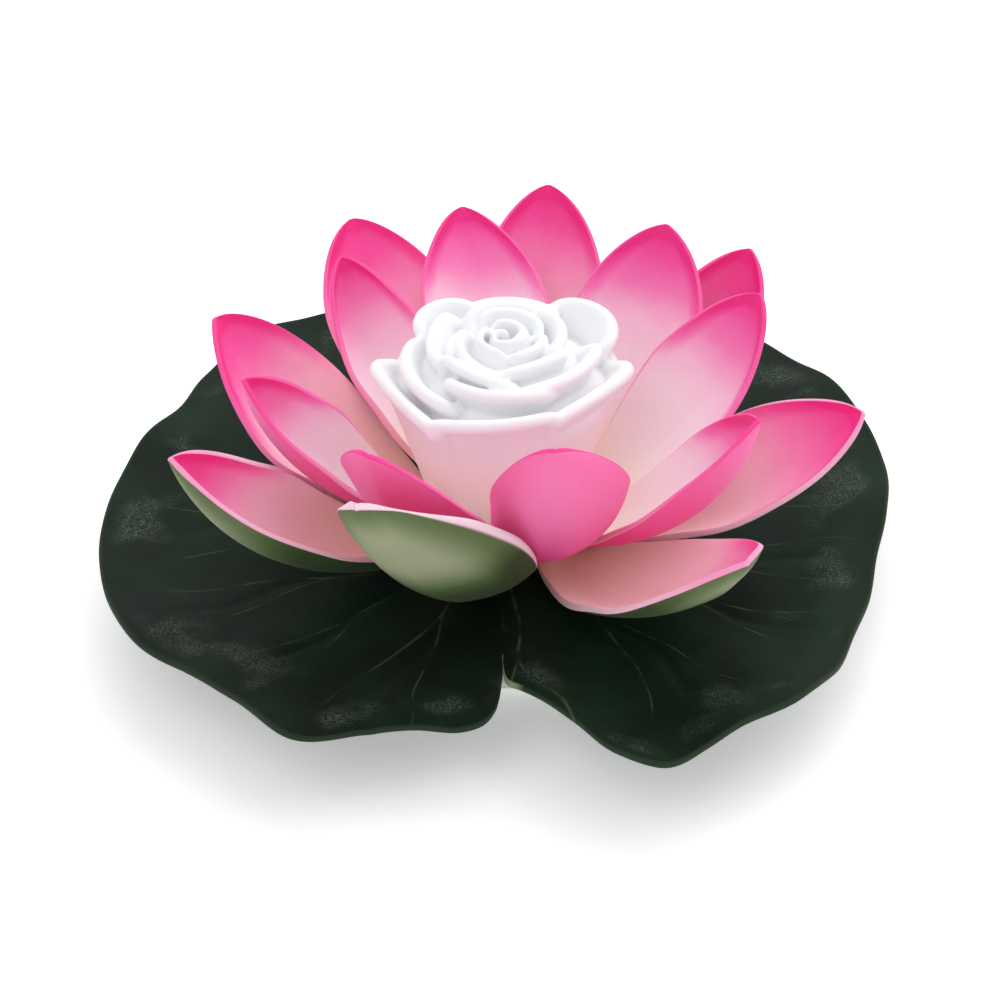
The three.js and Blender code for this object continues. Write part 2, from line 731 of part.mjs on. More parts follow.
// Half angle of the arc that the petal's cross-section follows: flat at the root, deepest near the middle.
function petalCup(petal, u) {
  const deep = 0.35 + 0.65 * Math.sin((Math.PI / 2) * u ** 0.9 + (Math.PI / 4) * u);
  return radians(petal.cup) * lerp(0.05, deep, THREE.MathUtils.smoothstep(u, 0, 0.14));
}

// A point of the petal's middle surface. u runs 0..1 from root to tip and is negative on the flat
// root tab, and v runs -1..1 across.
function petalPoint(petal, rootZ, u, v) {
  const along = Math.max(u, 0);
  const [a0, a1] = [radians(petal.root), radians(petal.tip)];
  const tilt = lerp(a0, a1, along);
  const bend = petal.length / (a1 - a0);
  const spineR = PETAL_ROOT_R + bend * (Math.sin(tilt) - Math.sin(a0)) + Math.min(u, 0) * petal.length;
  const spineZ = rootZ + bend * (Math.cos(a0) - Math.cos(tilt));
  const half = petalHalfWidth(petal, along);
  const cup = petalCup(petal, along) * (1 + petal.skew * Math.sign(v));
  const side = (half / cup) * Math.sin(cup * v);
  const lift = (half / cup) * (1 - Math.cos(cup * v));
  const lap = LAP * THREE.MathUtils.smoothstep(along, 0, 0.12) * (1 - along) ** 2;
  const roll = radians(petal.roll * along + lap);
  const across = side * Math.cos(roll) - lift * Math.sin(roll);
  const up = side * Math.sin(roll) + lift * Math.cos(roll);
  const flatTilt = u < 0 ? 0 : tilt;
  const radial = spineR - up * Math.sin(flatTilt);
  const height = spineZ + up * Math.cos(flatTilt);
  const tangential = across + radians(petal.sweep) * petal.length * along ** 2;
  const angle = radians(petal.azimuth);
  return new THREE.Vector3(
    radial * Math.cos(angle) - tangential * Math.sin(angle),
    radial * Math.sin(angle) + tangential * Math.cos(angle),
    height,
  );
}

function petalGrid(petal, rootZ) {
  const tab = (PETAL_TAB_R - PETAL_ROOT_R) / petal.length;
  const stations = [tab, 0, 0.08, 0.2, 0.34, 0.5, 0.66, 0.8, 0.91, 0.975, 1];
  const columns = 4;
  return stations.map((u) => {
    const row = [];
    for (let j = 0; j <= columns; j++) {
      row.push(petalPoint(petal, rootZ, u, (2 * j) / columns - 1));
    }
    return row;
  });
}

function buildFlower() {
  place("leaf_pad", thickSheet(leaf(), FOAM, true), LEAF_FOAM);
  const hole = COLLAR_R + FIT;
  const outerDiscTop = OUTER_PETAL_Z - PETAL_FOAM / 2 - GAP;
  place("outer_tier_disc", ring(26.4, hole, outerDiscTop - FOAM, outerDiscTop), TIER_FOAM);
  OUTER_PETALS.forEach((petal, k) => {
    const sheet = thickSheet(petalGrid(petal, OUTER_PETAL_Z), PETAL_FOAM);
    place(`outer_petal_${k + 1}`, sheet, OUTER_PETAL_FOAM);
  });
  const innerDiscTop = INNER_PETAL_Z - PETAL_FOAM / 2 - GAP;
  place("inner_tier_disc", ring(24.6, hole, innerDiscTop - FOAM, innerDiscTop), TIER_FOAM);
  INNER_PETALS.forEach((petal, k) => {
    const sheet = thickSheet(petalGrid(petal, INNER_PETAL_Z), PETAL_FOAM);
    place(`inner_petal_${k + 1}`, sheet, INNER_PETAL_FOAM);
  });
  const clampBottom = INNER_PETAL_Z + PETAL_FOAM / 2 + GAP;
  place("clamp_ring", ring(24.3, hole, clampBottom, clampBottom + 3), WHITE_PLASTIC);
}

// ---------------------------------------------------------------- rose diffuser
const ROSE_BOTTOM = 40.9;

// Hollow shell, from the top of its inside down, round the neck and up the outside: [radius, z, lobing].
// Lobing is how far the section swells at its five corners and sinks between them; a negative value
// turns the corners by half a step, as the next ring of petals does.
const ROSE_PROFILE = [
  [0, 101, 0],
  [8, 98, 0],
  [16, 97, 0],
  [20, 96, 0.02],
  [26, 93, 0],
  [30, 91.5, -0.02],
  [35, 88.5, 0],
  [37, 85.5, 0.05],
  [32, 72, 0.05],
  [25, 54, 0.03],
  [21.4, 46, 0],
  [21.4, ROSE_BOTTOM, 0],
  [24, ROSE_BOTTOM, 0],
  [24.4, 43, 0],
  [27, 51, 0.03],
  [32.5, 66, 0.05],
  [37.5, 80, 0.05],
  [41.5, 88, 0.05],
  [44.4, 91.4, 0.05],
  [44.8, 93.6, 0.05],
  [43, 95, 0.05],
  [38.2, 91, 0.03],
  [36.6, 96.6, -0.05],
  [35.6, 99.8, -0.05],
  [33.6, 100.6, -0.05],
  [28.6, 95.4, -0.02],
  [27, 101, 0.04],
  [25.6, 104, 0.04],
  [23.4, 104.4, 0.04],
  [18.8, 99.6, 0.02],
  [16.8, 104.4, -0.03],
  [15.2, 106, -0.03],
  [13, 105.8, -0.03],
  [9.6, 101.4, 0],
  [8, 105.6, 0.03],
  [5.4, 107, 0.03],
  [3.2, 104.6, 0],
  [0, 106, 0],
];

function rose() {
  const segments = 30;
  const heights = ROSE_PROFILE.map(([, z]) => z);
  const g = turned(ROSE_PROFILE.map(([r], k) => [r, heights[k]]), segments);
  const p = g.getAttribute("position");
  for (let i = 0; i < p.count; i++) {
    const lobing = ROSE_PROFILE[i % ROSE_PROFILE.length][2];
    const angle = Math.atan2(p.getY(i), p.getX(i));
    const swell = 1 + lobing * Math.cos(5 * (angle - Math.PI / 2));
    p.setXY(i, p.getX(i) * swell, p.getY(i) * swell);
  }
  return g;
}

function buildRose() {
  place("rose_gasket", ring(23.4, COLLAR_R + FIT, 39.2, 40.6), SEAL_RUBBER);
  place("rose_diffuser", rose(), DIFFUSER_PLASTIC);
}

buildCase();
buildBatteryCover();
buildBatteryBay();
buildControls();
buildLeads();
buildLedBoard();
buildFloat();
buildFlower();
buildRose();

export default light;
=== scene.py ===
# Looks of the floating pool light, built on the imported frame. Lengths in the tables are millimetres.
import math

import bmesh
import bpy
import numpy as np
from mathutils import Matrix, Vector


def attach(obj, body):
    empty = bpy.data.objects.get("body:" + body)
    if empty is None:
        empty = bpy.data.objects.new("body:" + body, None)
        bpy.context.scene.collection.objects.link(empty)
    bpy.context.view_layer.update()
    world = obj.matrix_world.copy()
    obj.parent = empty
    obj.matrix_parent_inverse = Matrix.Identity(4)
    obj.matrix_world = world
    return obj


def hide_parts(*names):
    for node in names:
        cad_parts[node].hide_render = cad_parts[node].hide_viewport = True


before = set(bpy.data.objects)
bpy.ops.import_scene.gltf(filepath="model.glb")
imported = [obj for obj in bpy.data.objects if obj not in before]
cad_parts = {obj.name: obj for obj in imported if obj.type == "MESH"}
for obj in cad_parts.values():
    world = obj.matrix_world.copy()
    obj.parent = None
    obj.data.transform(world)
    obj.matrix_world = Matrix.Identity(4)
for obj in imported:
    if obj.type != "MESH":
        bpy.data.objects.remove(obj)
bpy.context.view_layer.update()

MM = 0.001
TAU = 2 * math.pi

# ---------------- dimensions shared with the CAD
CASE_R = 40.0
COLLAR_R = 21.0
FIT = 0.4
LEAF_Z = 25.0
LEAF_FOAM = 2.0
PETAL_FOAM = 2.5
OUTER_PETAL_Z = 29.7
INNER_PETAL_Z = 34.5
PETAL_ROOT_R = 25.0
PETAL_TAB_R = 22.3
PORT_Y = 6.0
BUTTON_Y = -31.8
SCREW_PLACES = [(35.2, 15), (35.2, 165), (34.5, 218), (34.5, 322)]
CELL_Z = 11.55
CELL_SPACING = 11.1
CELL_LENGTH = 44.5
CELL_TIP_X = 24.9
PLATE_FACE = 25.2
SPRING_TURNS = 3
SPRING_PITCH = 1.35
SPRING_BASE_R = 4
SPRING_TIP_R = 2.2
LED_CIRCLE_R = 9.0
LED_SCREW_X = 16.6


# ---------------- procedural materials
def srgb(r, g, b, a=1.0):
    """Linear colour of an sRGB triple from 0 to 255."""
    def linear(c):
        c /= 255
        return c / 12.92 if c <= 0.04045 else ((c + 0.055) / 1.055) ** 2.4
    return (linear(r), linear(g), linear(b), a)


def math_node(operation):
    """Method that puts a value, and what follows it, through one math node."""
    return lambda value, *others: value.shader.math(operation, value, *others)


class Value:
    """A shader number that takes part in plain arithmetic."""

    def __init__(self, shader, socket):
        self.shader = shader
        self.socket = socket

    def __rsub__(self, other):
        return self.shader.math("SUBTRACT", other, self)

    def __neg__(self):
        return self * -1.0

    __add__ = __radd__ = math_node("ADD")
    __sub__ = math_node("SUBTRACT")
    __mul__ = __rmul__ = math_node("MULTIPLY")
    __truediv__ = math_node("DIVIDE")
    abs = math_node("ABSOLUTE")
    sin = math_node("SINE")
    power = math_node("POWER")
    fract = math_node("FRACT")
    most = math_node("MAXIMUM")

    def smooth(self, low, high, start=0.0, end=1.0):
        """start below low, end above high, and smooth between them."""
        node = self.shader.node("ShaderNodeMapRange", interpolation_type="SMOOTHSTEP")
        for k, value in enumerate((self, low, high, start, end)):
            self.shader.feed(node.inputs[k], value)
        return Value(self.shader, node.outputs[0])

    def fall(self, low, high):
        return self.smooth(low, high, 1.0, 0.0)


class Shader:
    """Material around one Principled shader."""

    def __init__(self, name, roughness=0.5, **settings):
        self.material = bpy.data.materials.new(name)
        self.material.use_nodes = True
        self.tree = self.material.node_tree
        self.tree.nodes.clear()
        self.bsdf = self.node("ShaderNodeBsdfPrincipled")
        output = self.node("ShaderNodeOutputMaterial")
        self.tree.links.new(self.bsdf.outputs[0], output.inputs["Surface"])
        self.set("Roughness", roughness)
        for key, value in settings.items():
            self.set(key.replace("_", " "), value)

    def node(self, kind, **properties):
        made = self.tree.nodes.new(kind)
        for key, value in properties.items():
            setattr(made, key, value)
        return made

    def feed(self, socket, value):
        if isinstance(value, Value):
            self.tree.links.new(value.socket, socket)
        else:
            socket.default_value = value

    def set(self, name, value):
        self.feed(self.bsdf.inputs[name], value)

    def math(self, operation, *values):
        node = self.node("ShaderNodeMath", operation=operation)
        for k, value in enumerate(values):
            self.feed(node.inputs[k], value)
        return Value(self, node.outputs[0])

    def attribute(self, name):
        node = self.node("ShaderNodeAttribute", attribute_name=name)
        return Value(self, node.outputs["Fac"])

    def position(self, scale=(1, 1, 1)):
        """Place on the object, in metres, optionally stretched."""
        node = self.node("ShaderNodeTexCoord")
        mapping = self.node("ShaderNodeMapping")
        self.tree.links.new(node.outputs["Object"], mapping.inputs["Vector"])
        mapping.inputs["Scale"].default_value = scale
        return Value(self, mapping.outputs[0])

    def axes(self):
        node = self.node("ShaderNodeSeparateXYZ")
        self.feed(node.inputs[0], self.position((1 / MM, 1 / MM, 1 / MM)))
        return [Value(self, node.outputs[k]) for k in range(3)]

    def noise(self, size, detail=2.0, roughness=0.5, stretch=(1, 1, 1), distortion=0.0):
        """Noise from 0 to 1 whose lumps are about size millimetres."""
        node = self.node("ShaderNodeTexNoise")
        self.feed(node.inputs["Vector"], self.position(stretch))
        values = {"Detail": detail, "Roughness": roughness, "Distortion": distortion}
        for key, value in {"Scale": 1 / (size * MM), **values}.items():
            node.inputs[key].default_value = value
        return Value(self, node.outputs[0])

    def cells(self, size, feature="F1"):
        """Distance to cell centres, or to cell walls, for cells about size millimetres wide."""
        node = self.node("ShaderNodeTexVoronoi", feature=feature)
        self.feed(node.inputs["Vector"], self.position())
        node.inputs["Scale"].default_value = 1 / (size * MM)
        return Value(self, node.outputs["Distance"])

    def mix(self, share, a, b):
        node = self.node("ShaderNodeMix", data_type="RGBA")
        self.feed(node.inputs[0], share)
        self.feed(node.inputs[6], a)
        self.feed(node.inputs[7], b)
        return Value(self, node.outputs[2])

    def ramp(self, value, stops):
        """Colour between stops of place, red, green and blue."""
        node = self.node("ShaderNodeValToRGB")
        elements = node.color_ramp.elements
        while len(elements) < len(stops):
            elements.new(0.5)
        for element, (place, *color) in zip(elements, stops):
            element.position = place
            element.color = srgb(*color)
        self.feed(node.inputs[0], value)
        return Value(self, node.outputs[0])

    def bump(self, height, depth):
        """Bump from a height of 0 to 1 that is depth millimetres deep."""
        node = self.node("ShaderNodeBump")
        node.inputs["Distance"].default_value = depth * MM
        node.inputs["Strength"].default_value = 1.0
        self.feed(node.inputs["Height"], height)
        self.set("Normal", Value(self, node.outputs[0]))


def grain(shader, size, depth):
    shader.bump(shader.noise(size, 3, 0.6), depth)


def petal_material(name, inside, outside, rim, back_share, back_shade_heights, pale_edge=0.0):
    """Air-brushed foam: colour runs from root to tip, and each side and the cut edge have their own.
    The back darkens near its margin by back_share, as painted. Lower down it darkens between the two heights
    given, from the higher to the lower: painted shade on the low part of the back, partly also darker paint
    near the root.
    The inside fades to the colour of the cut edge at the margin by pale_edge."""
    m = Shader(
        name, 0.62, Sheen_Weight=0.06, Sheen_Roughness=0.45, Specular_IOR_Level=0.22,
        Subsurface_Weight=0.08, Subsurface_Radius=(0.004, 0.002, 0.002), Subsurface_Scale=0.5)
    along = m.attribute("along")
    edge = m.attribute("edge")
    side = m.attribute("side")
    cloud = m.noise(26, 2, 0.5)
    spray = m.noise(1.1, 3, 0.7)
    drift = (cloud - 0.5) * 0.14 + (spray - 0.5) * 0.05
    _, _, height = m.axes()
    margin = edge.fall(0.0, 7.0) * along.smooth(0.3, 0.8, 0.1, 1.0)
    inner_tone = m.ramp(along + drift + margin * 0.13, inside)
    back_margin = edge.fall(0.0, 15.0)
    # painted shade: the lower part of the back is darkened by height, partly also darker paint near the root
    outer_tone = m.ramp(back_margin * back_share + height.fall(*back_shade_heights) + drift, outside)
    rim_tone = m.ramp(along + drift, rim)
    if pale_edge:
        worn = edge.smooth(0.4, 2.4, pale_edge, 0.0) * along.smooth(0.3, 0.6)
        inner_tone = m.mix(worn, inner_tone, rim_tone)
    face = m.mix(side.smooth(0.02, 0.1), outer_tone, inner_tone)
    is_rim = side.smooth(0.06, 0.16) * side.fall(0.84, 0.94)
    speck = spray.smooth(0.62, 0.78) * 0.08
    color = m.mix(speck, m.mix(is_rim, face, rim_tone), srgb(255, 235, 240))
    m.set("Base Color", color)
    m.set("Roughness", 0.58 + (cloud - 0.5) * 0.16 + is_rim * 0.12)
    pores = m.cells(0.55).smooth(0.0, 0.55)
    skin = m.noise(0.5, 3, 0.65)
    m.bump(pores * is_rim * 0.5 + skin * 0.6 + m.noise(7, 2, 0.5) * 0.9, 0.16)
    return m.material


# ---------------- mesh helpers
def mesh_object(name, points, faces, attributes=None, sharp=35.0):
    """Object of a mesh given in millimetres."""
    mesh = bpy.data.meshes.new(name)
    mesh.from_pydata([tuple(p) for p in np.asarray(points, float) * MM], [], faces)
    for key, values in (attributes or {}).items():
        layer = mesh.attributes.new(key, "FLOAT", "POINT")
        layer.data.foreach_set("value", np.asarray(values, np.float32))
    mesh.validate()
    obj = bpy.data.objects.new(name, mesh)
    bpy.context.scene.collection.objects.link(obj)
    smooth(obj, sharp)
    return obj


def polar(r, angle):
    return r * math.cos(angle), r * math.sin(angle)


def band(r0, r1, z0, z1):
    """Rectangular profile."""
    return [(r0, z0), (r1, z0), (r1, z1), (r0, z1)]


def smooth(obj, sharp=35.0):
    obj.data.shade_smooth()
    obj.data.set_sharp_from_angle(angle=math.radians(sharp))


def outward(obj):
    """Turns every face outwards."""
    work = bmesh.new()
    work.from_mesh(obj.data)
    bmesh.ops.recalc_face_normals(work, faces=work.faces)
    work.to_mesh(obj.data)
    work.free()
    return obj


def settle(obj):
    """Applies the modifiers."""
    bpy.context.view_layer.update()
    done = obj.evaluated_get(bpy.context.evaluated_depsgraph_get())
    mesh = bpy.data.meshes.new_from_object(done)
    mesh.validate()
    obj.modifiers.clear()
    obj.data = mesh
    return obj


def combine(obj, tools, operation):
    """Joins the tools to obj, cuts them out or keeps what they cover, and removes them."""
    for tool in tools:
        modifier = obj.modifiers.new("cut", "BOOLEAN")
        modifier.operation = operation
        modifier.solver = "EXACT"
        modifier.object = tool
    settle(obj)
    smooth(obj, 30)
    for tool in tools:
        bpy.data.objects.remove(tool)


def rounded(profile, radius, steps=4, closed=True):
    """Profile whose corners are replaced by small arcs."""
    out = []
    count = len(profile)
    for k, corner in enumerate(profile):
        b = np.array(corner, float)
        if not closed and k in (0, count - 1):
            out.append(tuple(b))
            continue
        a = np.array(profile[k - 1], float)
        c = np.array(profile[(k + 1) % count], float)
        to_a = a - b
        to_c = c - b
        reach = min(radius, 0.45 * np.linalg.norm(to_a), 0.45 * np.linalg.norm(to_c))
        p = b + to_a / np.linalg.norm(to_a) * reach
        q = b + to_c / np.linalg.norm(to_c) * reach
        for s in np.linspace(0, 1, steps + 1):
            out.append(tuple((1 - s) ** 2 * p + 2 * s * (1 - s) * b + s ** 2 * q))
    return out


def turned(name, profile, segments=128, place=(0, 0, 0), sharp=35.0, rim=0.0):
    """Solid of revolution about Z from [radius, z]; it closes on itself, or starts and ends on the axis."""
    on_axis = profile[0][0] == 0 and profile[-1][0] == 0
    if rim:
        profile = rounded(profile, rim, closed=not on_axis)
    count = len(profile)
    angles = np.arange(segments) * TAU / segments
    points = []
    rows = []
    for r, z in profile:
        if r < 1e-6:
            rows.append([len(points)] * segments)
            points.append((0, 0, z))
        else:
            rows.append(list(range(len(points), len(points) + segments)))
            points.extend((*polar(r, t), z) for t in angles)
    faces = []
    last = count - 1 if on_axis else count
    for i in range(last):
        a = rows[i]
        b = rows[(i + 1) % count]
        for j in range(segments):
            k = (j + 1) % segments
            corners = [a[j], a[k], b[k], b[j]]
            face = [c for n, c in enumerate(corners) if c != corners[n - 1]]
            if len(face) > 2:
                faces.append(face)
    obj = mesh_object(name, np.array(points) + np.array(place), faces, sharp=sharp)
    return outward(obj)


def rod(radius, z0, z1, x=0.0, y=0.0, segments=48):
    return turned("tool", band(0, radius, z0, z1), segments, (x, y, 0))


def block(x0, x1, y0, y1, z0, z1):
    corners = [(x, y, z) for x in (x0, x1) for y in (y0, y1) for z in (z0, z1)]
    faces = [(0, 1, 3, 2), (4, 6, 7, 5), (0, 4, 5, 1), (2, 3, 7, 6), (0, 2, 6, 4), (1, 5, 7, 3)]
    return outward(mesh_object("tool", corners, faces))


def tube(name, path, radius, sides=16, closed=False, sharp=60.0):
    """Round bar along a list of points."""
    path = np.array(path, float)
    count = len(path)
    if closed:
        tangents = np.roll(path, -1, 0) - np.roll(path, 1, 0)
    else:
        tangents = np.gradient(path, axis=0)
    tangents /= np.linalg.norm(tangents, axis=1)[:, None]
    normal = np.cross(tangents[0], (0, 0, 1) if abs(tangents[0][2]) < 0.9 else (1, 0, 0))
    points = []
    for p, t in zip(path, tangents):
        normal = normal - t * (normal @ t)
        normal /= np.linalg.norm(normal)
        side = np.cross(t, normal)
        for k in range(sides):
            angle = k * TAU / sides
            points.append(p + radius * (math.cos(angle) * normal + math.sin(angle) * side))
    faces = []
    for i in range(count if closed else count - 1):
        for j in range(sides):
            k = (j + 1) % sides
            n = (i + 1) % count
            faces.append((i * sides + j, i * sides + k, n * sides + k, n * sides + j))
    if not closed:
        faces.append(list(range(sides)))
        faces.append([(count - 1) * sides + k for k in reversed(range(sides))])
    return outward(mesh_object(name, points, faces, sharp=sharp))


def spline(points, steps):
    """Catmull-Rom curve through open points."""
    p = np.array(points, float)
    p = np.vstack([2 * p[0] - p[1], p, 2 * p[-1] - p[-2]])
    out = []
    for i in range(1, len(p) - 2):
        for s in np.arange(steps) / steps:
            out.append(catmull(p[i - 1], p[i], p[i + 1], p[i + 2], s))
    out.append(p[-2])
    return np.array(out)


def catmull(a, b, c, d, s):
    return 0.5 * (2 * b + (c - a) * s + (2 * a - 5 * b + 4 * c - d) * s ** 2
                  + (3 * b - a - 3 * c + d) * s ** 3)


def sheet(name, middle, thickness, attributes, wrap=False, bulge=0.5, steps=6, boxy=0.62, normal=None):
    """Closed sheet about a grid of middle points, with a rounded rim all the way round. The thickness
    and the bulge of the rim are each one number, or one for each point. The attribute side is 1 on the
    face towards along x across, 0 on the other, and runs between them over the rim."""
    rows, columns = middle.shape[:2]
    if wrap:
        across = np.roll(middle, -1, 1) - np.roll(middle, 1, 1)
    else:
        across = np.gradient(middle, axis=1)
    along = np.gradient(middle, axis=0)
    if normal is None:
        normal = np.cross(along, across)
        normal /= np.maximum(np.linalg.norm(normal, axis=2), 1e-9)[:, :, None]
    index = np.arange(rows * columns).reshape(rows, columns)
    half_thick = np.broadcast_to(thickness, (rows, columns))[:, :, None] / 2
    bead = np.broadcast_to(bulge, (rows, columns))[:, :, None]
    points = [(middle + normal * half_thick).reshape(-1, 3), (middle - normal * half_thick).reshape(-1, 3)]
    values = {key: [v.ravel(), v.ravel()] for key, v in attributes.items()}
    values["side"] = [np.ones(rows * columns), np.zeros(rows * columns)]
    lower = index + rows * columns
    faces = []
    strips = columns if wrap else columns - 1
    for i in range(rows - 1):
        for j in range(strips):
            k = (j + 1) % columns
            faces.append((index[i, j], index[i + 1, j], index[i + 1, k], index[i, k]))
            faces.append((lower[i, j], lower[i, k], lower[i + 1, k], lower[i + 1, j]))
    first = [(0, j) for j in range(columns)]
    last = [(rows - 1, j) for j in range(columns)]
    if wrap:
        loops = [(first, -along), (last, along)]
    else:
        right = [(i, columns - 1) for i in range(1, rows - 1)]
        left = [(i, 0) for i in range(1, rows - 1)]
        loops = [(first + right + last[::-1] + left[::-1], None)]
    total = 2 * rows * columns
    for loop, outwards in loops:
        where = tuple(np.array(loop).T)
        p = middle[where]
        n = normal[where]
        tangent = np.roll(p, -1, 0) - np.roll(p, 1, 0)
        out = np.cross(tangent, n)
        if outwards is not None:
            out *= np.sign(np.sum(out * outwards[where], axis=1))[:, None]
        else:
            middle_point = middle[rows // 2, columns // 2]
            out *= np.sign(np.sum(out * (p - middle_point)))
        out /= np.maximum(np.linalg.norm(out, axis=1), 1e-9)[:, None]
        size = len(loop)
        chain = [index[where]]
        for s in range(1, steps):
            angle = math.pi * s / steps
            c, q = math.cos(angle), math.sin(angle)
            rise = math.copysign(abs(c) ** boxy, c)
            points.append(p + n * rise * half_thick[where] + out * bead[where] * q ** boxy)
            for key, v in attributes.items():
                values[key].append(v[where])
            values["side"].append(np.full(size, 0.5 + 0.38 * rise))
            chain.append(np.arange(total, total + size))
            total += size
        chain.append(lower[where])
        for a, b in zip(chain[:-1], chain[1:]):
            for j in range(size):
                k = (j + 1) % size
                faces.append((a[j], a[k], b[k], b[j]))
    faces = [tuple(int(x) for x in f) for f in faces]
    packed = {key: np.concatenate(v) for key, v in values.items()}
    return outward(mesh_object(name, np.concatenate(points), faces, packed, sharp=60.0))


def piece(obj, material, body="root", node=None):
    """Finishes a new piece: its material, what it rides on and the node it stands for,
    which is what follows the first word of its name unless node says otherwise."""
    obj.data.materials.clear()
    for m in material if isinstance(material, list) else [material]:
        obj.data.materials.append(m)
    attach(obj, body)
    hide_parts(node or obj.name.split("_", 1)[1])


def finish_node(name, material, bevel=0.0):
    """Keeps a CAD node, with a better material and its sharp edges eased."""
    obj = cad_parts[name]
    obj.data.materials.clear()
    obj.data.materials.append(material)
    if bevel:
        ease = obj.modifiers.new("ease", "BEVEL")
        ease.width = bevel * MM
        ease.segments = 2
        ease.limit_method = "ANGLE"


# ---------------- petals
# azimuth, length, width, inclination at root and tip, cup, roll, sweep, skew
OUTER_PETALS = [
    (37, 118.5, 54, 3.5, 68, 64, 21, 3, 0.1),
    (81, 120.5, 55, 11, 57.5, 52, 8, 1, 0),
    (118, 116.5, 58, 10.5, 50, 47, -2.5, -1, 0.1),
    (163, 106.5, 64, 8, 65, 32, 3, -2.5, -0.2),
    (212, 132, 55, 1, 70, 94, -30, 0, -0.1),
    (262, 119.5, 60.5, 5.5, 82, 73, 6, -15, -0.2),
    (311, 126, 60, -3, 61.5, 41, 3, -5, -0.1),
    (353, 115, 54, 4.5, 53, 57, 30, 1, -0.1),
]
INNER_PETALS = [
    (11, 102, 49.5, 22.5, 72.5, 56, 29, 4, 0.1),
    (46.5, 103, 53.5, 20, 74, 39, 21.5, 4, 0),
    (93.5, 100.5, 52, 22.5, 58, 54, 9.5, 5, 0),
    (135.5, 90.5, 47.5, 26, 70, 88, -14, -2, -0.1),
    (192, 98.5, 47, 20, 74.5, 85, -20, 3.5, -0.2),
    (243.2, 100, 52.5, 27, 73.5, 42, -6, -2.5, 0),
    (292, 104.5, 60, 18, 92, 76, -17.5, -8, 0),
    (329, 109, 50, 12.5, 77, 72, 22.5, -1.5, -0.1),
]
UPRIGHT_PETAL = 5  # the outer petal whose green back stands facing the front
ROOT_SHARE = 0.22
WIDEST_AT = 0.56
TIP_SHARE = 0.035
TAPER_START = 1.9
TAPER_END = 0.66
RIM_ROUNDING = 0.5
NARROW = 12.0  # half width below which the foam is offset straight back, not square to its curve
LAP = 9.0


def smoothstep(x, low, high):
    t = np.clip((x - low) / (high - low), 0, 1)
    return t * t * (3 - 2 * t)


def petal_half_width(width, u):
    swell = np.sin(np.pi / 2 * np.clip(u / WIDEST_AT, 0, 1))
    t = np.clip((u - WIDEST_AT) / (1 - WIDEST_AT), 0, 1)
    taper = np.maximum((1 - t ** TAPER_START) ** TAPER_END, TIP_SHARE)
    return width / 2 * np.where(u <= WIDEST_AT, ROOT_SHARE + (1 - ROOT_SHARE) * swell, taper)


def petal_surface(table, root_z, u, v, half=None):
    """Middle surface of a petal in millimetres. u is 0 to 1 from root to tip, v is -1 to 1 across."""
    azimuth, length, width, root, tip, cup_deg, roll_deg, sweep, skew = table
    along = np.maximum(u, 0)
    a0, a1 = math.radians(root), math.radians(tip)
    tilt = a0 + (a1 - a0) * along
    bend = length / (a1 - a0)
    spine_r = PETAL_ROOT_R + bend * (np.sin(tilt) - math.sin(a0)) + np.minimum(u, 0) * length
    spine_z = root_z + bend * (math.cos(a0) - np.cos(tilt))
    if half is None:
        half = petal_half_width(width, along)
    deep = 0.35 + 0.65 * np.sin(np.pi / 2 * along ** 0.9 + np.pi / 4 * along)
    cup = math.radians(cup_deg) * (0.05 + (deep - 0.05) * smoothstep(along, 0, 0.14))
    cup = cup * (1 + skew * np.tanh(v * 6))
    side = half / cup * np.sin(cup * v)
    lift = half / cup * (1 - np.cos(cup * v))
    lap = LAP * smoothstep(along, 0, 0.12) * (1 - along) ** 2
    roll = np.radians(roll_deg * along + lap)
    across = side * np.cos(roll) - lift * np.sin(roll)
    up = side * np.sin(roll) + lift * np.cos(roll)
    flat_tilt = np.where(u < 0, 0, tilt)
    radial = spine_r - up * np.sin(flat_tilt)
    height = spine_z + up * np.cos(flat_tilt)
    tangential = across + math.radians(sweep) * length * along ** 2
    angle = math.radians(azimuth)
    x = radial * math.cos(angle) - tangential * math.sin(angle)
    y = radial * math.sin(angle) + tangential * math.cos(angle)
    return np.stack([x, y, height], axis=2), half


def petal_normal(table, root_z, u, v, half):
    """Unit normals towards the inside, taken at a constant width so that they stay smooth at the tip."""
    step = 0.001

    def at(du, dv):
        return petal_surface(table, root_z, u + du, v + dv, half)[0]

    along = at(step, 0) - at(-step, 0)
    across = at(0, step) - at(0, -step)
    normal = np.cross(along, across)
    return normal / np.linalg.norm(normal, axis=2)[:, :, None]


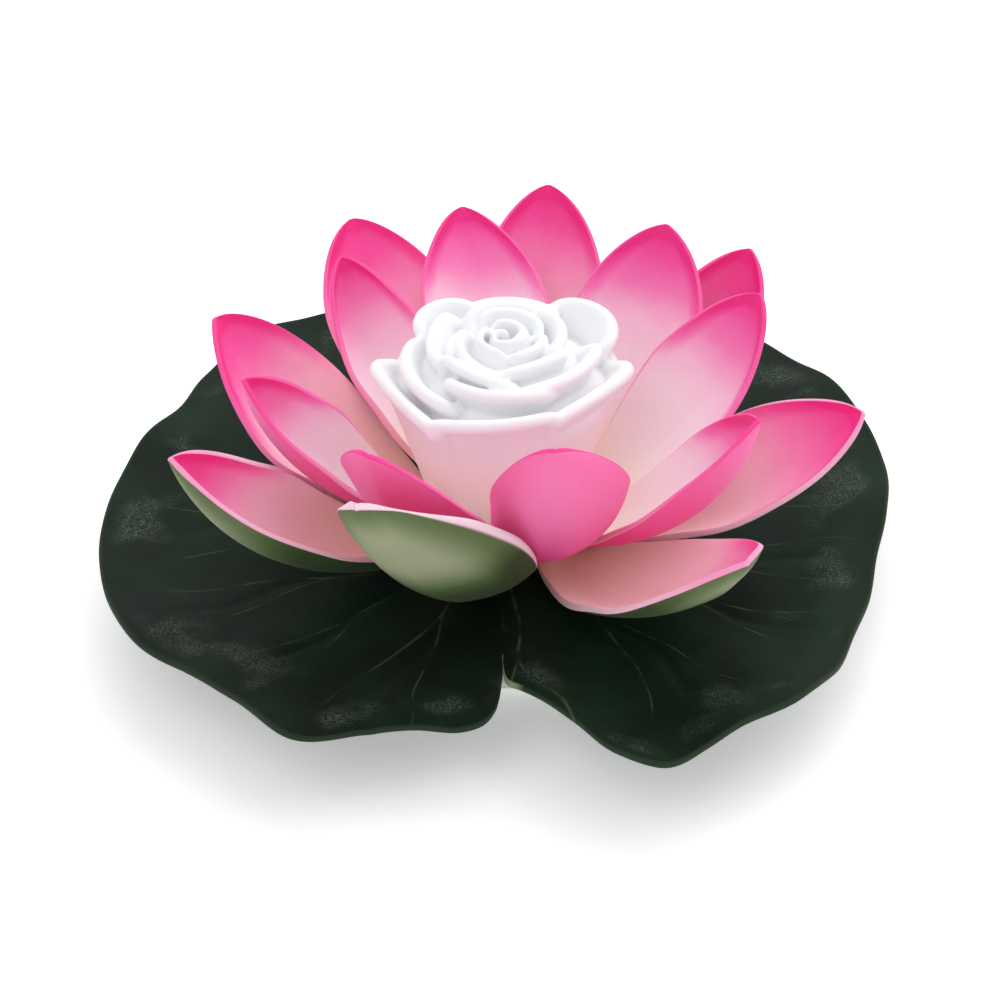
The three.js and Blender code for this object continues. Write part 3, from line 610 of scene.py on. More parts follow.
def petal(name, table, root_z, material, slot, seed, lip=0.6, swell=-0.6, bead=0.0):
    """The free edge bends out by lip, is thicker by swell and ends in a bead, all in millimetres."""
    length = table[1]
    tab = (PETAL_TAB_R - PETAL_ROOT_R) / length
    s = np.linspace(0, 1, 76)
    u_line = np.concatenate([[tab, tab / 2], 1 - (1 - s) ** 1.6])
    v_line = np.sin(np.linspace(-1, 1, 41) * np.pi / 2 * 0.86) / math.sin(np.pi / 2 * 0.86)
    u, v = np.meshgrid(u_line, v_line, indexing="ij")
    middle, half = petal_surface(table, root_z, u, v)
    # small unevenness: a lazy wave along the free edges and a faint lengthwise crease
    along = np.clip(u, 0, 1)
    sway = np.sin(along * 9 + seed * 1.7) + 0.6 * np.sin(along * 17 + seed * 2.3 + np.sign(v))
    lift = 0.55 * sway * np.abs(v) ** 4 * smoothstep(along, 0.2, 0.5) * (1 - along ** 6)
    crease = -0.45 * np.exp(-(v / 0.10) ** 2) * smoothstep(along, 0.15, 0.5) * (1 - smoothstep(along, 0.8, 1))
    normal = petal_normal(table, root_z, u, v, half)
    wide = smoothstep(half, 0, NARROW)[:, :, None]
    normal = normal * wide + normal[:, len(v_line) // 2][:, None] * (1 - wide)
    normal /= np.linalg.norm(normal, axis=2)[:, :, None]
    edge = np.minimum(half * (1 - np.abs(v)), (1 - u) * length)
    free = smoothstep(along, 0.3, 0.6)
    flare = -lip * np.exp(-edge / (1 + 1.4 * lip)) * free * (1 - 0.75 * smoothstep(along, 0.6, 1.0))
    middle = middle + normal * (lift + crease + flare)[:, :, None]
    foam = PETAL_FOAM + swell * np.exp(-edge / 3) * free
    rim = RIM_ROUNDING + bead * smoothstep(along, 0.25, 0.65) * (1 - smoothstep(along, 0.76, 0.97))
    shape = sheet(name, middle, foam, {"along": u, "edge": edge}, bulge=rim, normal=normal)
    piece(shape, material)


def build_petals():
    outer_inside = [
        (0.00, 255, 224, 180), (0.13, 255, 238, 214), (0.30, 255, 234, 222), (0.58, 255, 213, 227),
        (0.75, 254, 148, 200), (0.88, 250, 88, 168), (1.00, 246, 46, 140),
    ]
    inner_inside = [
        (0.00, 250, 210, 174), (0.11, 255, 236, 222), (0.32, 255, 238, 242), (0.52, 255, 232, 243),
        (0.66, 255, 206, 230), (0.80, 254, 134, 196), (0.92, 250, 84, 166), (1.00, 244, 50, 142),
    ]
    green_back = [
        (0.00, 148, 153, 123), (0.35, 116, 128, 92), (0.70, 74, 94, 51), (1.00, 48, 69, 31),
    ]
    pink_back = [
        (0.00, 246, 122, 178), (0.35, 247, 106, 170), (0.75, 247, 86, 161), (1.00, 242, 70, 150),
    ]
    pale_rim = [
        (0.0, 232, 220, 200), (0.4, 240, 226, 226), (0.8, 242, 218, 228), (1.0, 242, 206, 222),
    ]
    lilac_rim = [
        (0.0, 236, 214, 196), (0.4, 234, 200, 208), (0.8, 236, 182, 208), (1.0, 242, 150, 192),
    ]
    pink_rim = [
        (0.0, 246, 206, 196), (0.4, 252, 172, 206), (0.75, 252, 112, 178), (1.0, 246, 66, 150),
    ]
    upright_look = petal_material(
        "petal_foam_green_upright", outer_inside, green_back, pale_rim, 0.6, (54, 80), pale_edge=0.8)
    front_look = petal_material(
        "petal_foam_green_back", outer_inside, green_back, lilac_rim, 0.6, (46, 82))
    rear_look = petal_material(
        "petal_foam_green_back_pink_rim", outer_inside, green_back, pink_rim, 0.6, (43, 72))
    inner_look = petal_material(
        "petal_foam_pink_back", inner_inside, pink_back, pink_rim, 0.2, (40, 88))
    for k, table in enumerate(OUTER_PETALS):
        edge = {"lip": 0.6, "swell": -0.6}
        look = rear_look
        if k == UPRIGHT_PETAL:
            look = upright_look
            edge = {"lip": 1.2, "swell": 1.1, "bead": 3.4}
        elif table[0] > 200:
            look = front_look
            edge = {"lip": 1.0, "swell": -0.5}
        petal(f"foam_outer_petal_{k + 1}", table, OUTER_PETAL_Z, look, "outer_petal_foam", k, **edge)
    for k, table in enumerate(INNER_PETALS):
        petal(f"foam_inner_petal_{k + 1}", table, INNER_PETAL_Z, inner_look, "inner_petal_foam", k + 8)


# ---------------- leaf
LEAF_OUTLINE = [
    (0, 135), (12, 140.5), (30, 146.5), (45, 149.5), (60, 149), (75, 143), (90, 139.5), (105, 143),
    (120, 151), (132, 150), (142, 142.5), (152, 135.5), (163, 138), (175, 139.5), (187, 141.5),
    (200, 143), (210, 143), (220, 136.5), (230, 136.5), (241, 142.5), (249, 126), (256, 117.5),
    (263, 115.5), (266.5, 111.5), (268.4, 104), (269.2, 94), (270, 74), (271, 88), (274, 91.5),
    (278, 99.5), (282, 114.5), (285.5, 136), (290, 147.5), (297, 143.5), (304, 140.5),
    (312, 143.5), (321, 141), (330, 135.5), (340, 133), (350, 131.5),
]
VEINS = 15
VEIN_WOBBLE = 0.16
VEIN_SPLIT_R = 66.0
VEIN_SPREAD = 0.24


def closed_spline(points, steps):
    """Centripetal Catmull-Rom loop."""
    p = np.array(points, float)
    count = len(p)
    out = []
    for i in range(count):
        q = [p[(i + k) % count] for k in (-1, 0, 1, 2)]
        t = [max(np.linalg.norm(q[k + 1] - q[k]) ** 0.5, 1e-4) for k in range(3)]
        m1 = (q[1] - q[0]) / t[0] - (q[2] - q[0]) / (t[0] + t[1]) + (q[2] - q[1]) / t[1]
        m2 = (q[2] - q[1]) / t[1] - (q[3] - q[1]) / (t[1] + t[2]) + (q[3] - q[2]) / t[2]
        m1, m2 = m1 * t[1], m2 * t[1]
        for s in np.arange(steps) / steps:
            out.append(q[1] + m1 * s + (3 * (q[2] - q[1]) - 2 * m1 - m2) * s ** 2
                       + (2 * (q[1] - q[2]) + m1 + m2) * s ** 3)
    return np.array(out)


def build_leaf():
    outline = [polar(r, math.radians(a)) for a, r in LEAF_OUTLINE]
    edge = closed_spline(outline, 14)
    angle = np.arctan2(edge[:, 1], edge[:, 0])[None, :]
    rim = np.hypot(edge[:, 0], edge[:, 1])[None, :]
    share = 1 - (1 - np.linspace(0, 1, 74)) ** 1.25
    hole = COLLAR_R + FIT
    r = hole + (rim - hole) * share[:, None]
    a = np.broadcast_to(angle, r.shape)
    dish = 7 * np.maximum(0, (r - 30) / 110) ** 2
    waves = (r / 140) ** 4 * (1.8 * np.sin(5 * a + 0.4) + 1.1 * np.sin(9 * a + 2))
    pucker = (r / 140) ** 6 * (0.7 * np.sin(14 * a + 1.1) + 0.5 * np.sin(23 * a + 0.3))
    wobble = VEIN_WOBBLE * np.sin(3 * a + 1) + 0.07 * np.sin(r / 9 + 5 * a)
    cell = a / TAU * VEINS + wobble
    offset = (cell - np.floor(cell) - 0.5) * TAU * r / VEINS
    groove = -0.5 * np.exp(-(offset / 2.6) ** 2) * smoothstep(r, 34, 60) * (1 - smoothstep(r, 105, 140))
    inset = (1 - share[:, None]) * (rim - hole)
    ridge = 1.6 * np.exp(-((inset - 14) / 8) ** 2)
    ridge = ridge * (0.55 + 0.45 * np.sin(4 * a + 2.4)) * smoothstep(r, 70, 100)
    z = LEAF_Z + dish + waves + ridge + (pucker + groove) * smoothstep(r, 40, 60)
    middle = np.stack([r * np.cos(a), r * np.sin(a), z], axis=2)
    shape = sheet("foam_leaf_pad", middle, LEAF_FOAM, {"edge": inset}, wrap=True, bulge=0.5)

    m = Shader("leaf_foam_dark_green", 0.55, Specular_IOR_Level=0.11, Sheen_Weight=0.01)
    x, y, _ = m.axes()
    radius = (x * x + y * y).power(0.5)
    theta = m.math("ARCTAN2", y, x)
    cell = theta * (VEINS / TAU) + (theta * 3 + 1).sin() * VEIN_WOBBLE
    cell = cell + (radius / 9 + theta * 5).sin() * 0.03 + (m.noise(30, 1, 0.5) - 0.5) * 0.1
    offset = ((cell + 100).fract() - 0.5).abs() * radius * (TAU / VEINS)
    split = VEIN_SPLIT_R + (theta * 7).sin() * 12
    spread = (radius - split).most(0) * VEIN_SPREAD
    branch = (offset - spread).abs()
    width = radius.smooth(30, 135, 0.75, 0.35)
    line = (branch / width).fall(0.3, 1.0)
    line = line * radius.fall(105, 132) * m.noise(14, 2, 0.6).smooth(0.40, 0.62, 0.1, 1.0)
    fine = m.cells(7, "DISTANCE_TO_EDGE").fall(0.0, 0.05) * 0.3
    cloud = m.noise(38, 3, 0.5)
    green = m.mix(cloud.smooth(0.35, 0.7), srgb(9, 24, 14), srgb(18, 41, 25))
    green = m.mix(fine * 0.3, green, srgb(26, 46, 28))
    speckle = m.noise(0.8, 3, 0.75)
    inset = m.attribute("edge")
    near_rim = inset.smooth(2, 9) * inset.fall(16, 34)
    # painted highlight: pale speckled sheen patches a little inside the edge, where the edge ridges catch the
    # overhead light; the same patches are also less rough
    painted_sheen_patch = m.noise(24, 2, 0.45).smooth(0.5, 0.68) * near_rim * speckle.smooth(0.40, 0.68)
    green = m.mix(painted_sheen_patch * 0.36, green, srgb(118, 134, 122))
    green = m.mix(line * 0.5, green, srgb(80, 108, 68))
    # The cut edge is a little lighter all round; towards the front it is lighter still, a painted highlight
    painted_front_highlight = m.math("ADD", x * x, (y + 82) * (y + 82)).fall(60, 160)
    cut = inset.fall(0.0, 1.0)
    green = m.mix(cut * 0.25, green, srgb(64, 84, 60))
    m.set("Base Color", m.mix(cut * painted_front_highlight * 0.7, green, srgb(150, 168, 130)))
    m.set("Roughness", 0.56 - painted_sheen_patch * 0.16 + (cloud - 0.5) * 0.14)
    skin = m.noise(1.3, 4, 0.65)
    m.bump(skin * 0.55 + speckle * 0.3 + line * 0.4 + cloud * 0.8 + fine * 0.3, 0.34)
    piece(shape, m.material)


# ---------------- rose diffuser
# ring; centre azimuth, half angle; rim radius and height at the middle; bulge, which draws the ends
# in, or out when negative; drop of the ends as a share of the petal's height; twist and slope, the
# radius and height gained from the middle to the far end. A petal with a free end has two more: which
# end, and how far it curls in
ROSE_PETALS = [
    ("outer", 205.5, 35, 40.2, 93.2, -0.15, 0.02, -0.6, 0.8, -1, 9.0),
    ("outer", 268, 31, 39.6, 96.0, -0.05, 0.00, -3.8, 0.0),
    ("outer", 332, 36, 36.4, 93.6, -0.17, 0.01, 4.2, -1.2, 1, 9.0),
    ("outer", 24, 34, 39.0, 89.0, 0.02, 0.04, 0.0, 0.0),
    ("outer", 84, 40, 38.0, 88.0, 0.02, 0.04, 0.0, 0.0),
    ("outer", 142, 36, 37.0, 88.0, 0.02, 0.04, 0.0, 0.0),
    ("second", 38, 27, 43.2, 99.2, 0.14, 0.26, 0.0, 0.6),
    ("second", 132, 27, 36.8, 100.4, 0.17, 0.22, 0.0, 0.0),
    ("second", 197, 42, 34.0, 98.4, 0.02, 0.06, 2.4, -0.4),
    ("second", 264, 42, 29.6, 101.0, 0.00, 0.04, 1.8, 0.0),
    ("second", 324, 44, 29.6, 101.8, -0.05, 0.06, 2.4, 0.0),
    ("second", 84, 34, 34.0, 98.6, 0.04, 0.16, 0.0, 0.0),
    ("third", 168, 38, 24.4, 103.0, -0.10, 0.06, -1.6, 0.0),
    ("third", 240, 40, 21.4, 103.0, -0.12, 0.04, 2.0, -0.6),
    ("third", 84, 42, 24.2, 103.2, 0.05, 0.14, 0.0, 0.0),
    ("third", 20, 40, 20.8, 105.0, 0.05, 0.08, 2.0, 0.8),
    ("third", 306, 40, 18.8, 104.2, -0.16, 0.04, 1.4, 0.4),
    ("fourth", 214, 62, 16.0, 104.6, -0.14, 0.04, 3.4, -1.2),
    ("fourth", 70, 54, 15.6, 106.4, 0.04, 0.10, 1.0, 0.0),
    ("fourth", 330, 46, 12.2, 105.0, 0.00, 0.08, 2.2, 0.4),
    ("bud", 200, 74, 8.6, 106.4, 0.00, 0.08, 1.4, 0.0),
    ("bud", 38, 76, 8.2, 106.6, 0.00, 0.08, 1.6, 0.0),
    ("heart", 300, 84, 4.6, 106.2, 0.00, 0.06, 1.0, 0.0),
    ("heart", 120, 70, 2.6, 106.8, 0.00, 0.06, 0.8, 0.0),
]
# For each ring of petals, [radius, z] from the root up to the rim, measured from the rim.
ROSE_SECTIONS = {
    "outer": [
        (-22.5, -50), (-18.6, -40.5), (-13.4, -26.5), (-8.8, -14.0), (-4.4, -5.0), (-1.2, -0.9), (0, 0),
    ],
    "second": [(-11, -24), (-7.2, -15), (-4.4, -8), (-1.7, -2.4), (0, 0)],
    "third": [(-6, -18), (-4, -10), (-2.2, -5), (-0.8, -1.6), (0.3, 0)],
    "fourth": [(-3, -14), (-1.8, -7), (-0.8, -3), (0.2, 0)],
    "bud": [(-0.6, -10), (0.4, -5), (0.4, -2), (-0.4, 0)],
    "heart": [(-0.2, -7), (0.3, -3), (-0.2, 0)],
}
# wall thickness of each ring, then how far the ends of its petals fall and curl in
ROSE_RINGS = {
    "outer": (5.0, 2.2, 0), "second": (4.8, 4.5, 4), "third": (4.2, 4, 3),
    "fourth": (3.4, 3.5, 2), "bud": (2.8, 3, 1), "heart": (2.6, 2, 0),
}
ROSE_NECK_R = 23.0
ROSE_NECK_Z = 43.0
ROSE_VOXEL = 0.66
HOLLOW_DEPTH = 0.9


def rose_petal(ring, centre, half_angle, rim_r, rim_z, bulge, drop, twist, slope, free_end=0, curl=0.0):
    section = spline(ROSE_SECTIONS[ring], 8)
    wall, end_fall, end_curl = ROSE_RINGS[ring]
    count = len(section)
    v = np.linspace(-1, 1, 41)
    rise = np.linspace(0, 1, 34)
    s, across = np.meshgrid(rise, v, indexing="ij")
    reach = s * (1 - drop * np.abs(across) ** 2.6) * (count - 1)
    dr = np.interp(reach, np.arange(count), section[:, 0])
    dz = np.interp(reach, np.arange(count), section[:, 1])
    edge_r = rim_r * (1 - bulge * across ** 2) + twist * across - end_curl * np.abs(across) ** 10
    edge_r = edge_r - curl * np.maximum(free_end * across, 0) ** 10
    edge_z = rim_z + slope * across
    if ring == "outer":
        # these walls all start from the neck
        dr = dr * (edge_r - ROSE_NECK_R) / -section[0, 0]
        dz = dz * (edge_z - ROSE_NECK_Z) / -section[0, 1]
    r = edge_r + dr
    z = edge_z + dz - end_fall * s ** 3 * np.abs(across) ** 9
    a = np.radians(centre + half_angle * across)
    middle = np.stack([r * np.cos(a), r * np.sin(a), z], axis=2)
    return sheet("rose_petal", middle, wall, {}, bulge=wall * 0.45, boxy=0.8)


def shade_hollows(obj):
    """Attribute hollow: 1 deep in a fold, 0 on a flat place and below 0 on a ridge; the rose's colour uses it
    for painted shade in the folds.
    """
    mesh = obj.data
    count = len(mesh.vertices)
    points, normals = np.empty(count * 3), np.empty(count * 3)
    mesh.vertices.foreach_get("co", points)
    mesh.vertices.foreach_get("normal", normals)
    points = points.reshape(-1, 3) / MM
    ends = np.empty(len(mesh.edges) * 2, dtype=np.int64)
    mesh.edges.foreach_get("vertices", ends)
    a, b = ends.reshape(-1, 2).T
    degree = np.bincount(a, minlength=count) + np.bincount(b, minlength=count)
    soft = points.copy()
    for _ in range(24):
        total = np.empty_like(soft)
        for axis in range(3):
            total[:, axis] = np.bincount(a, soft[b, axis], count) + np.bincount(b, soft[a, axis], count)
        soft = 0.5 * soft + 0.5 * total / degree[:, None]
    hollow = np.sum((soft - points) * normals.reshape(-1, 3), axis=1) / HOLLOW_DEPTH
    layer = mesh.attributes.new("hollow", "FLOAT", "POINT")
    layer.data.foreach_set("value", np.clip(hollow, -1, 1).astype(np.float32))


def build_rose():
    core = [
        (0, 95), (12, 94), (22, 91), (30, 85.5), (32, 80), (28.6, 68), (24, 54), (21.4, 46), (21.4, 40.9),
        (24, 40.9), (24.4, 43), (25.4, 51), (29.4, 64), (33.6, 76), (36.0, 83), (36.6, 86.6), (34.8, 89),
        (31.6, 90.8), (28.6, 93.4), (26.0, 96), (22, 98), (17, 99.4), (12, 100.6), (6, 102), (0, 102.6),
    ]
    parts = [turned("rose_diffuser_shell", core, 96)]
    parts += [rose_petal(*row) for row in ROSE_PETALS]
    rose = parts[0]
    work = bmesh.new()
    for part in parts:
        work.from_mesh(part.data)
    work.to_mesh(rose.data)
    work.free()
    for part in parts[1:]:
        bpy.data.objects.remove(part)
    remesh = rose.modifiers.new("remesh", "REMESH")
    remesh.mode = "VOXEL"
    remesh.voxel_size = ROSE_VOXEL * MM
    soften = rose.modifiers.new("soften", "SMOOTH")
    soften.factor = 0.5
    soften.iterations = 18
    settle(rose)
    smooth(rose, 180)
    shade_hollows(rose)

    m = Shader(
        "translucent_white_plastic", 0.42, IOR=1.45, Specular_IOR_Level=0.3,
        Subsurface_Weight=0.3, Subsurface_Radius=(1.0, 0.82, 0.78), Subsurface_Scale=0.003)
    _, _, z = m.axes()
    cloud = m.noise(18, 2, 0.5)
    # painted reflection: the lower walls are tinted warm pink for light bounced from the petals; the plastic
    # itself is white
    depth = (z + (cloud - 0.5) * 5).smooth(62, 97)
    tone = m.mix(depth, srgb(255, 238, 232), srgb(245, 247, 250))
    # painted shade: the folds are darkened to a pinkish grey by the hollow attribute
    m.set("Base Color", m.mix(m.attribute("hollow").smooth(0.0, 0.9) * 0.75, tone, srgb(224, 206, 216)))
    m.set("Roughness", 0.42 + (cloud - 0.5) * 0.12)
    flow = m.noise(3.5, 2, 0.5)
    m.bump(m.noise(0.7, 3, 0.6) * 0.5 + flow * 0.5, 0.08)
    piece(rose, m.material, node="rose_diffuser")


# ---------------- lamp
def screw_spots():
    return [polar(r, math.radians(a)) for r, a in SCREW_PLACES]


def scaled(tone, factor, lift=0.0):
    return tuple(c * factor + lift for c in tone[:3]) + (1,)


def moulded(name, tone, roughness=0.45, depth=0.05):
    """Injection-moulded plastic: a fine spark-eroded grain, faint flow lines and handled patches."""
    m = Shader(name, roughness)
    flow = m.noise(14, 3, 0.5, distortion=0.6)
    fine = m.noise(0.35, 2, 0.6)
    m.set("Base Color", m.mix(flow.smooth(0.35, 0.75) * 0.6, tone, scaled(tone, 0.88)))
    m.set("Roughness", roughness + (flow - 0.5) * 0.14)
    m.bump(fine * 0.7 + flow * 0.5, depth)
    return m.material


def rubber(name, tone):
    m = Shader(name, 0.7, Specular_IOR_Level=0.35)
    dust = m.noise(6, 4, 0.6)
    m.set("Base Color", m.mix(dust.smooth(0.45, 0.75) * 0.5, tone, scaled(tone, 1.7, 0.01)))
    m.set("Roughness", 0.62 + (dust - 0.5) * 0.2)
    grain(m, 0.3, 0.03)
    return m.material


def metal(name, tone):
    m = Shader(name, 0.3, Metallic=1.0)
    lines = m.noise(0.5, 3, 0.6)
    wear = m.noise(5, 3, 0.6)
    m.set("Base Color", m.mix(wear.smooth(0.4, 0.8) * 0.5, tone, scaled(tone, 0.72)))
    m.set("Roughness", 0.24 + wear * 0.18)
    m.bump(lines, 0.02)
    return m.material


def closed_cell_foam(name, tone):
    """Cut closed-cell foam: small bubbles with soft walls."""
    m = Shader(name, 0.85, Subsurface_Weight=0.1, Subsurface_Scale=0.002, Specular_IOR_Level=0.3)
    walls = m.cells(1.1, "DISTANCE_TO_EDGE").smooth(0.0, 0.28)
    small = m.cells(0.45, "DISTANCE_TO_EDGE").smooth(0.0, 0.3)
    cloud = m.noise(20, 2, 0.5)
    m.set("Base Color", m.mix(walls * 0.35 + cloud * 0.2, tone, scaled(tone, 0.8)))
    m.set("Roughness", 0.8 + (cloud - 0.5) * 0.1)
    m.bump(1.0 - (walls * 0.7 + small * 0.3), 0.28)
    return m.material


def cross_screw(node, screw, cross, place, steel):
    """Cuts a cross, given by its half length, half width, bottom and top, and moves the screw to place."""
    reach, half, z0, z1 = cross
    slots = [block(-reach, reach, -half, half, z0, z1), block(-half, half, -reach, reach, z0, z1)]
    combine(screw, slots, "DIFFERENCE")
    screw.data.transform(Matrix.Translation(Vector((*place, 0)) * MM))
    piece(screw, steel, node=node)


def build_foam_rings():
    white_foam = closed_cell_foam("float_foam_white", srgb(238, 240, 236))
    profile = [(40.4, 3), (61, 3), (63.8, 4.2), (65, 7), (65, 20), (63.8, 22.6), (62, 23.6), (40.4, 23.6)]
    piece(turned("foam_float_ring", profile, 192, rim=0.9, sharp=50), white_foam)
    peach = closed_cell_foam("tier_foam_peach", srgb(240, 196, 168))
    hole = COLLAR_R + FIT
    for name, r, z in (("outer_tier_disc", 26.4, 26.3), ("inner_tier_disc", 24.6, 31.1)):
        piece(turned("foam_" + name, band(hole, r, z, z + 2), 160, rim=0.35), peach)


def build_case(white, steel, seal):
    inner = CASE_R - 2
    pan = [(0, 0), (39, 0), (40, 1), (40, 11.4), (inner, 11.4), (inner, 2), (0, 2)]
    lower = turned("moulded_lower_case", pan, 160, rim=0.45)
    port = turned("tool", band(29.4, 31.4, 1, 8), 128, (0, PORT_Y, 0))
    posts = [rod(1.6, 1, 11.7, x, -32.5, 24) for x in (-9.5, 9.5)]
    bosses = [rod(3.2, 1, 11.4, x, y, 40) for x, y in screw_spots()]
    combine(lower, [port, *posts, *bosses], "UNION")
    keep = turned("tool", [(0, -1), (39, -0.01), (40, 1), (40, 14), (0, 14)], 160)
    combine(lower, [keep], "INTERSECT")
    cuts = [
        rod(29.4, -1, 9, 0, PORT_Y, 128),
        rod(29.9, -1, 3.8, 0, PORT_Y, 128),
        rod(3.9, -1, 3, 0, BUTTON_Y),
    ]
    for x, y in screw_spots():
        cuts += [rod(1.7, -1, 12.4, x, y, 24), rod(2.9, -1, 2.2, x, y, 40)]
    # two shallow grooves round the port, for grip and for draining
    for r in (31.2, 32.4):
        groove = turned("tool", band(r, r + 0.5, -1, 0.35), 128, (0, PORT_Y, 0))
        combine(groove, [rod(36.2, -2, 1, segments=96)], "INTERSECT")
        cuts.append(groove)
    combine(lower, cuts, "DIFFERENCE")
    piece(lower, white)

    bore = COLLAR_R - 2
    roof = 21.5
    shell = [
        (40, 12.6), (40, 22.5), (39, 23.5), (21, 23.5), (21, 42.4), (20.4, 43), (bore, 43), (bore, 38.6),
        (14.6, 38.6), (14.6, 36.6), (bore, 34.6), (bore, roof), (inner, roof), (inner, 12.6),
    ]
    upper = turned("moulded_upper_case", shell, 160, rim=0.3)
    bosses = [rod(3.2, 12.6, roof + 1, x, y, 40) for x, y in screw_spots()]
    posts = [rod(1.6, 13.5, roof + 1, x, -20, 24) for x in (-9.5, 9.5)]
    combine(upper, bosses + posts, "UNION")
    cuts = [rod(1.7, 11.6, 18.8, x, y, 24) for x, y in screw_spots()]
    cuts += [rod(1.3, 33.6, 39.6, x, 0, 24) for x in (-LED_SCREW_X, LED_SCREW_X)]
    combine(upper, cuts, "DIFFERENCE")
    piece(upper, white)

    hole = COLLAR_R + FIT
    rings = [
        ("rubber_case_seal", band(38.2, 39.8, 11.7, 12.3), 160, 0.2, seal, "seal_rubber"),
        ("rubber_rose_gasket", band(hole, 23.4, 39.2, 40.6), 128, 0.4, seal, "seal_rubber"),
        ("moulded_clamp_ring", band(hole, 24.3, 35.9, 38.9), 128, 0.5, white, "case_plastic"),
    ]
    for name, section, segments, rim, look, slot in rings:
        piece(turned(name, section, segments, rim=rim), look)

    shape = [(0, 0.4), (1.8, 0.4), (2.5, 0.75), (2.5, 1.4), (1.35, 1.9), (1.35, 17.4), (0, 18.4)]
    for k, place in enumerate(screw_spots()):
        screw = turned(f"steel_case_screw_{k + 1}", shape, 40, rim=0.12)
        cross_screw(f"case_screw_{k + 1}", screw, (1.6, 0.35, 0, 1.1), place, steel)


def build_cover(white, seal):
    cap = [
        (0, 0.8), (28.3, 0.8), (28.9, 1.4), (28.9, 4), (27.45, 4), (27.45, 5.6), (28.9, 5.6), (28.9, 6),
        (26.2, 6), (26.2, 3.2), (0, 3.2),
    ]
    cover = turned("moulded_battery_cover", cap, 160, rim=0.15)
    path = [(*polar(28.8, t), 1.6 + 2 * t / TAU) for t in np.linspace(0, 0.8 * TAU, 90)]
    combine(cover, [tube("tool", path, 0.55, 8)], "UNION")
    dish = rod(18, 0, 2, segments=96)
    combine(dish, [block(-20, 20, -2.6, 2.6, -1, 3)], "DIFFERENCE")
    flutes = [rod(0.7, 0, 1.25, *polar(24.5, k * TAU / 24), 16) for k in range(24)]
    combine(cover, [dish, *flutes], "DIFFERENCE")
    cover.data.transform(Matrix.Translation(Vector((0, PORT_Y, 0)) * MM))
    piece(cover, white, "battery_cover")
    loop = [(28.35 * math.cos(t), PORT_Y + 28.35 * math.sin(t), 4.8) for t in np.arange(128) * TAU / 128]
    piece(tube("rubber_cover_oring", loop, 0.6, 20, closed=True), seal, "cover_seal")


def build_button():
    profile = [
        (0, 0.5), (2.6, 0.6), (3.5, 1.2), (3.5, 2.3), (5.2, 2.3), (5.2, 3.3), (3.5, 3.3), (3.5, 5.1), (0, 5.1),
    ]
    button = turned("silicone_power_button", profile, 72, (0, BUTTON_Y, 0), rim=0.25)
    m = Shader("silicone_grey", 0.5, Subsurface_Weight=0.2, Subsurface_Scale=0.002)
    haze = m.noise(3, 3, 0.6)
    m.set("Base Color", m.mix(haze, srgb(206, 204, 198), srgb(184, 182, 176)))
    m.set("Roughness", 0.45 + haze * 0.2)
    grain(m, 0.25, 0.03)
    piece(button, m.material, "power_button")


def build_battery_bay(steel):
    wrap = Shader("cell_wrap_blue_and_silver", 0.3, Metallic=0.6)
    x, _, _ = wrap.axes()
    silver = (x.abs() - 6).smooth(0.0, 0.3)
    scuff = wrap.noise(2.5, 4, 0.65, (0.3, 1, 1))
    tone = wrap.mix(silver, srgb(196, 200, 206), srgb(34, 92, 168))
    wrap.set("Base Color", wrap.mix(scuff.smooth(0.55, 0.8) * 0.4, tone, srgb(150, 160, 176)))
    wrap.set("Roughness", 0.24 + scuff * 0.2)
    wrap.bump(wrap.noise(4, 2, 0.5), 0.03)
    profile = [
        (0, 0), (4.75, 0), (5.25, 0.5), (5.25, 42.9), (4.65, 43.4), (1.9, 43.4), (1.9, CELL_LENGTH),
        (0, CELL_LENGTH),
    ]
    for k in range(3):
        y = PORT_Y + (k - 1) * CELL_SPACING
        side = 1 if k % 2 == 0 else -1
        cell = turned(f"battery_cell_{k + 1}", profile, 64, rim=0.25)
        turn = Matrix.Rotation(math.pi / 2, 4, "Y")
        shift = Matrix.Translation(Vector((CELL_TIP_X - CELL_LENGTH, 0, 0)) * MM)
        flip = Matrix.Rotation(0 if side > 0 else math.pi, 4, "Z")
        seat = Matrix.Translation(Vector((0, y, CELL_Z)) * MM)
        cell.data.transform(seat @ flip @ shift @ turn)
        for face in cell.data.polygons:
            flat_end = abs(face.normal.x) > 0.5
            nub = face.center.x * side > 23.7 * MM
            face.material_index = 1 if flat_end or nub else 0
        smooth(cell, 30)
        piece(cell, [wrap.material, steel])
        path = []
        for t in np.linspace(0, 1, 110):
            a = SPRING_TURNS * TAU * t
            r = SPRING_BASE_R + (SPRING_TIP_R - SPRING_BASE_R) * t
            x = SPRING_PITCH * SPRING_TURNS * t - PLATE_FACE + 0.75
            path.append((x, r * math.sin(a), -r * math.cos(a)))
        points = [(p[0] * side, p[1] * side + y, p[2] + CELL_Z) for p in path]
        piece(tube(f"steel_battery_spring_{k + 1}", points, 0.38, 12), steel)
    for k in range(4):
        finish_node(f"contact_plate_{k + 1}", steel, 0.12)
    finish_node("battery_cradle", moulded("cradle_black", srgb(30, 30, 32), 0.5), 0.3)


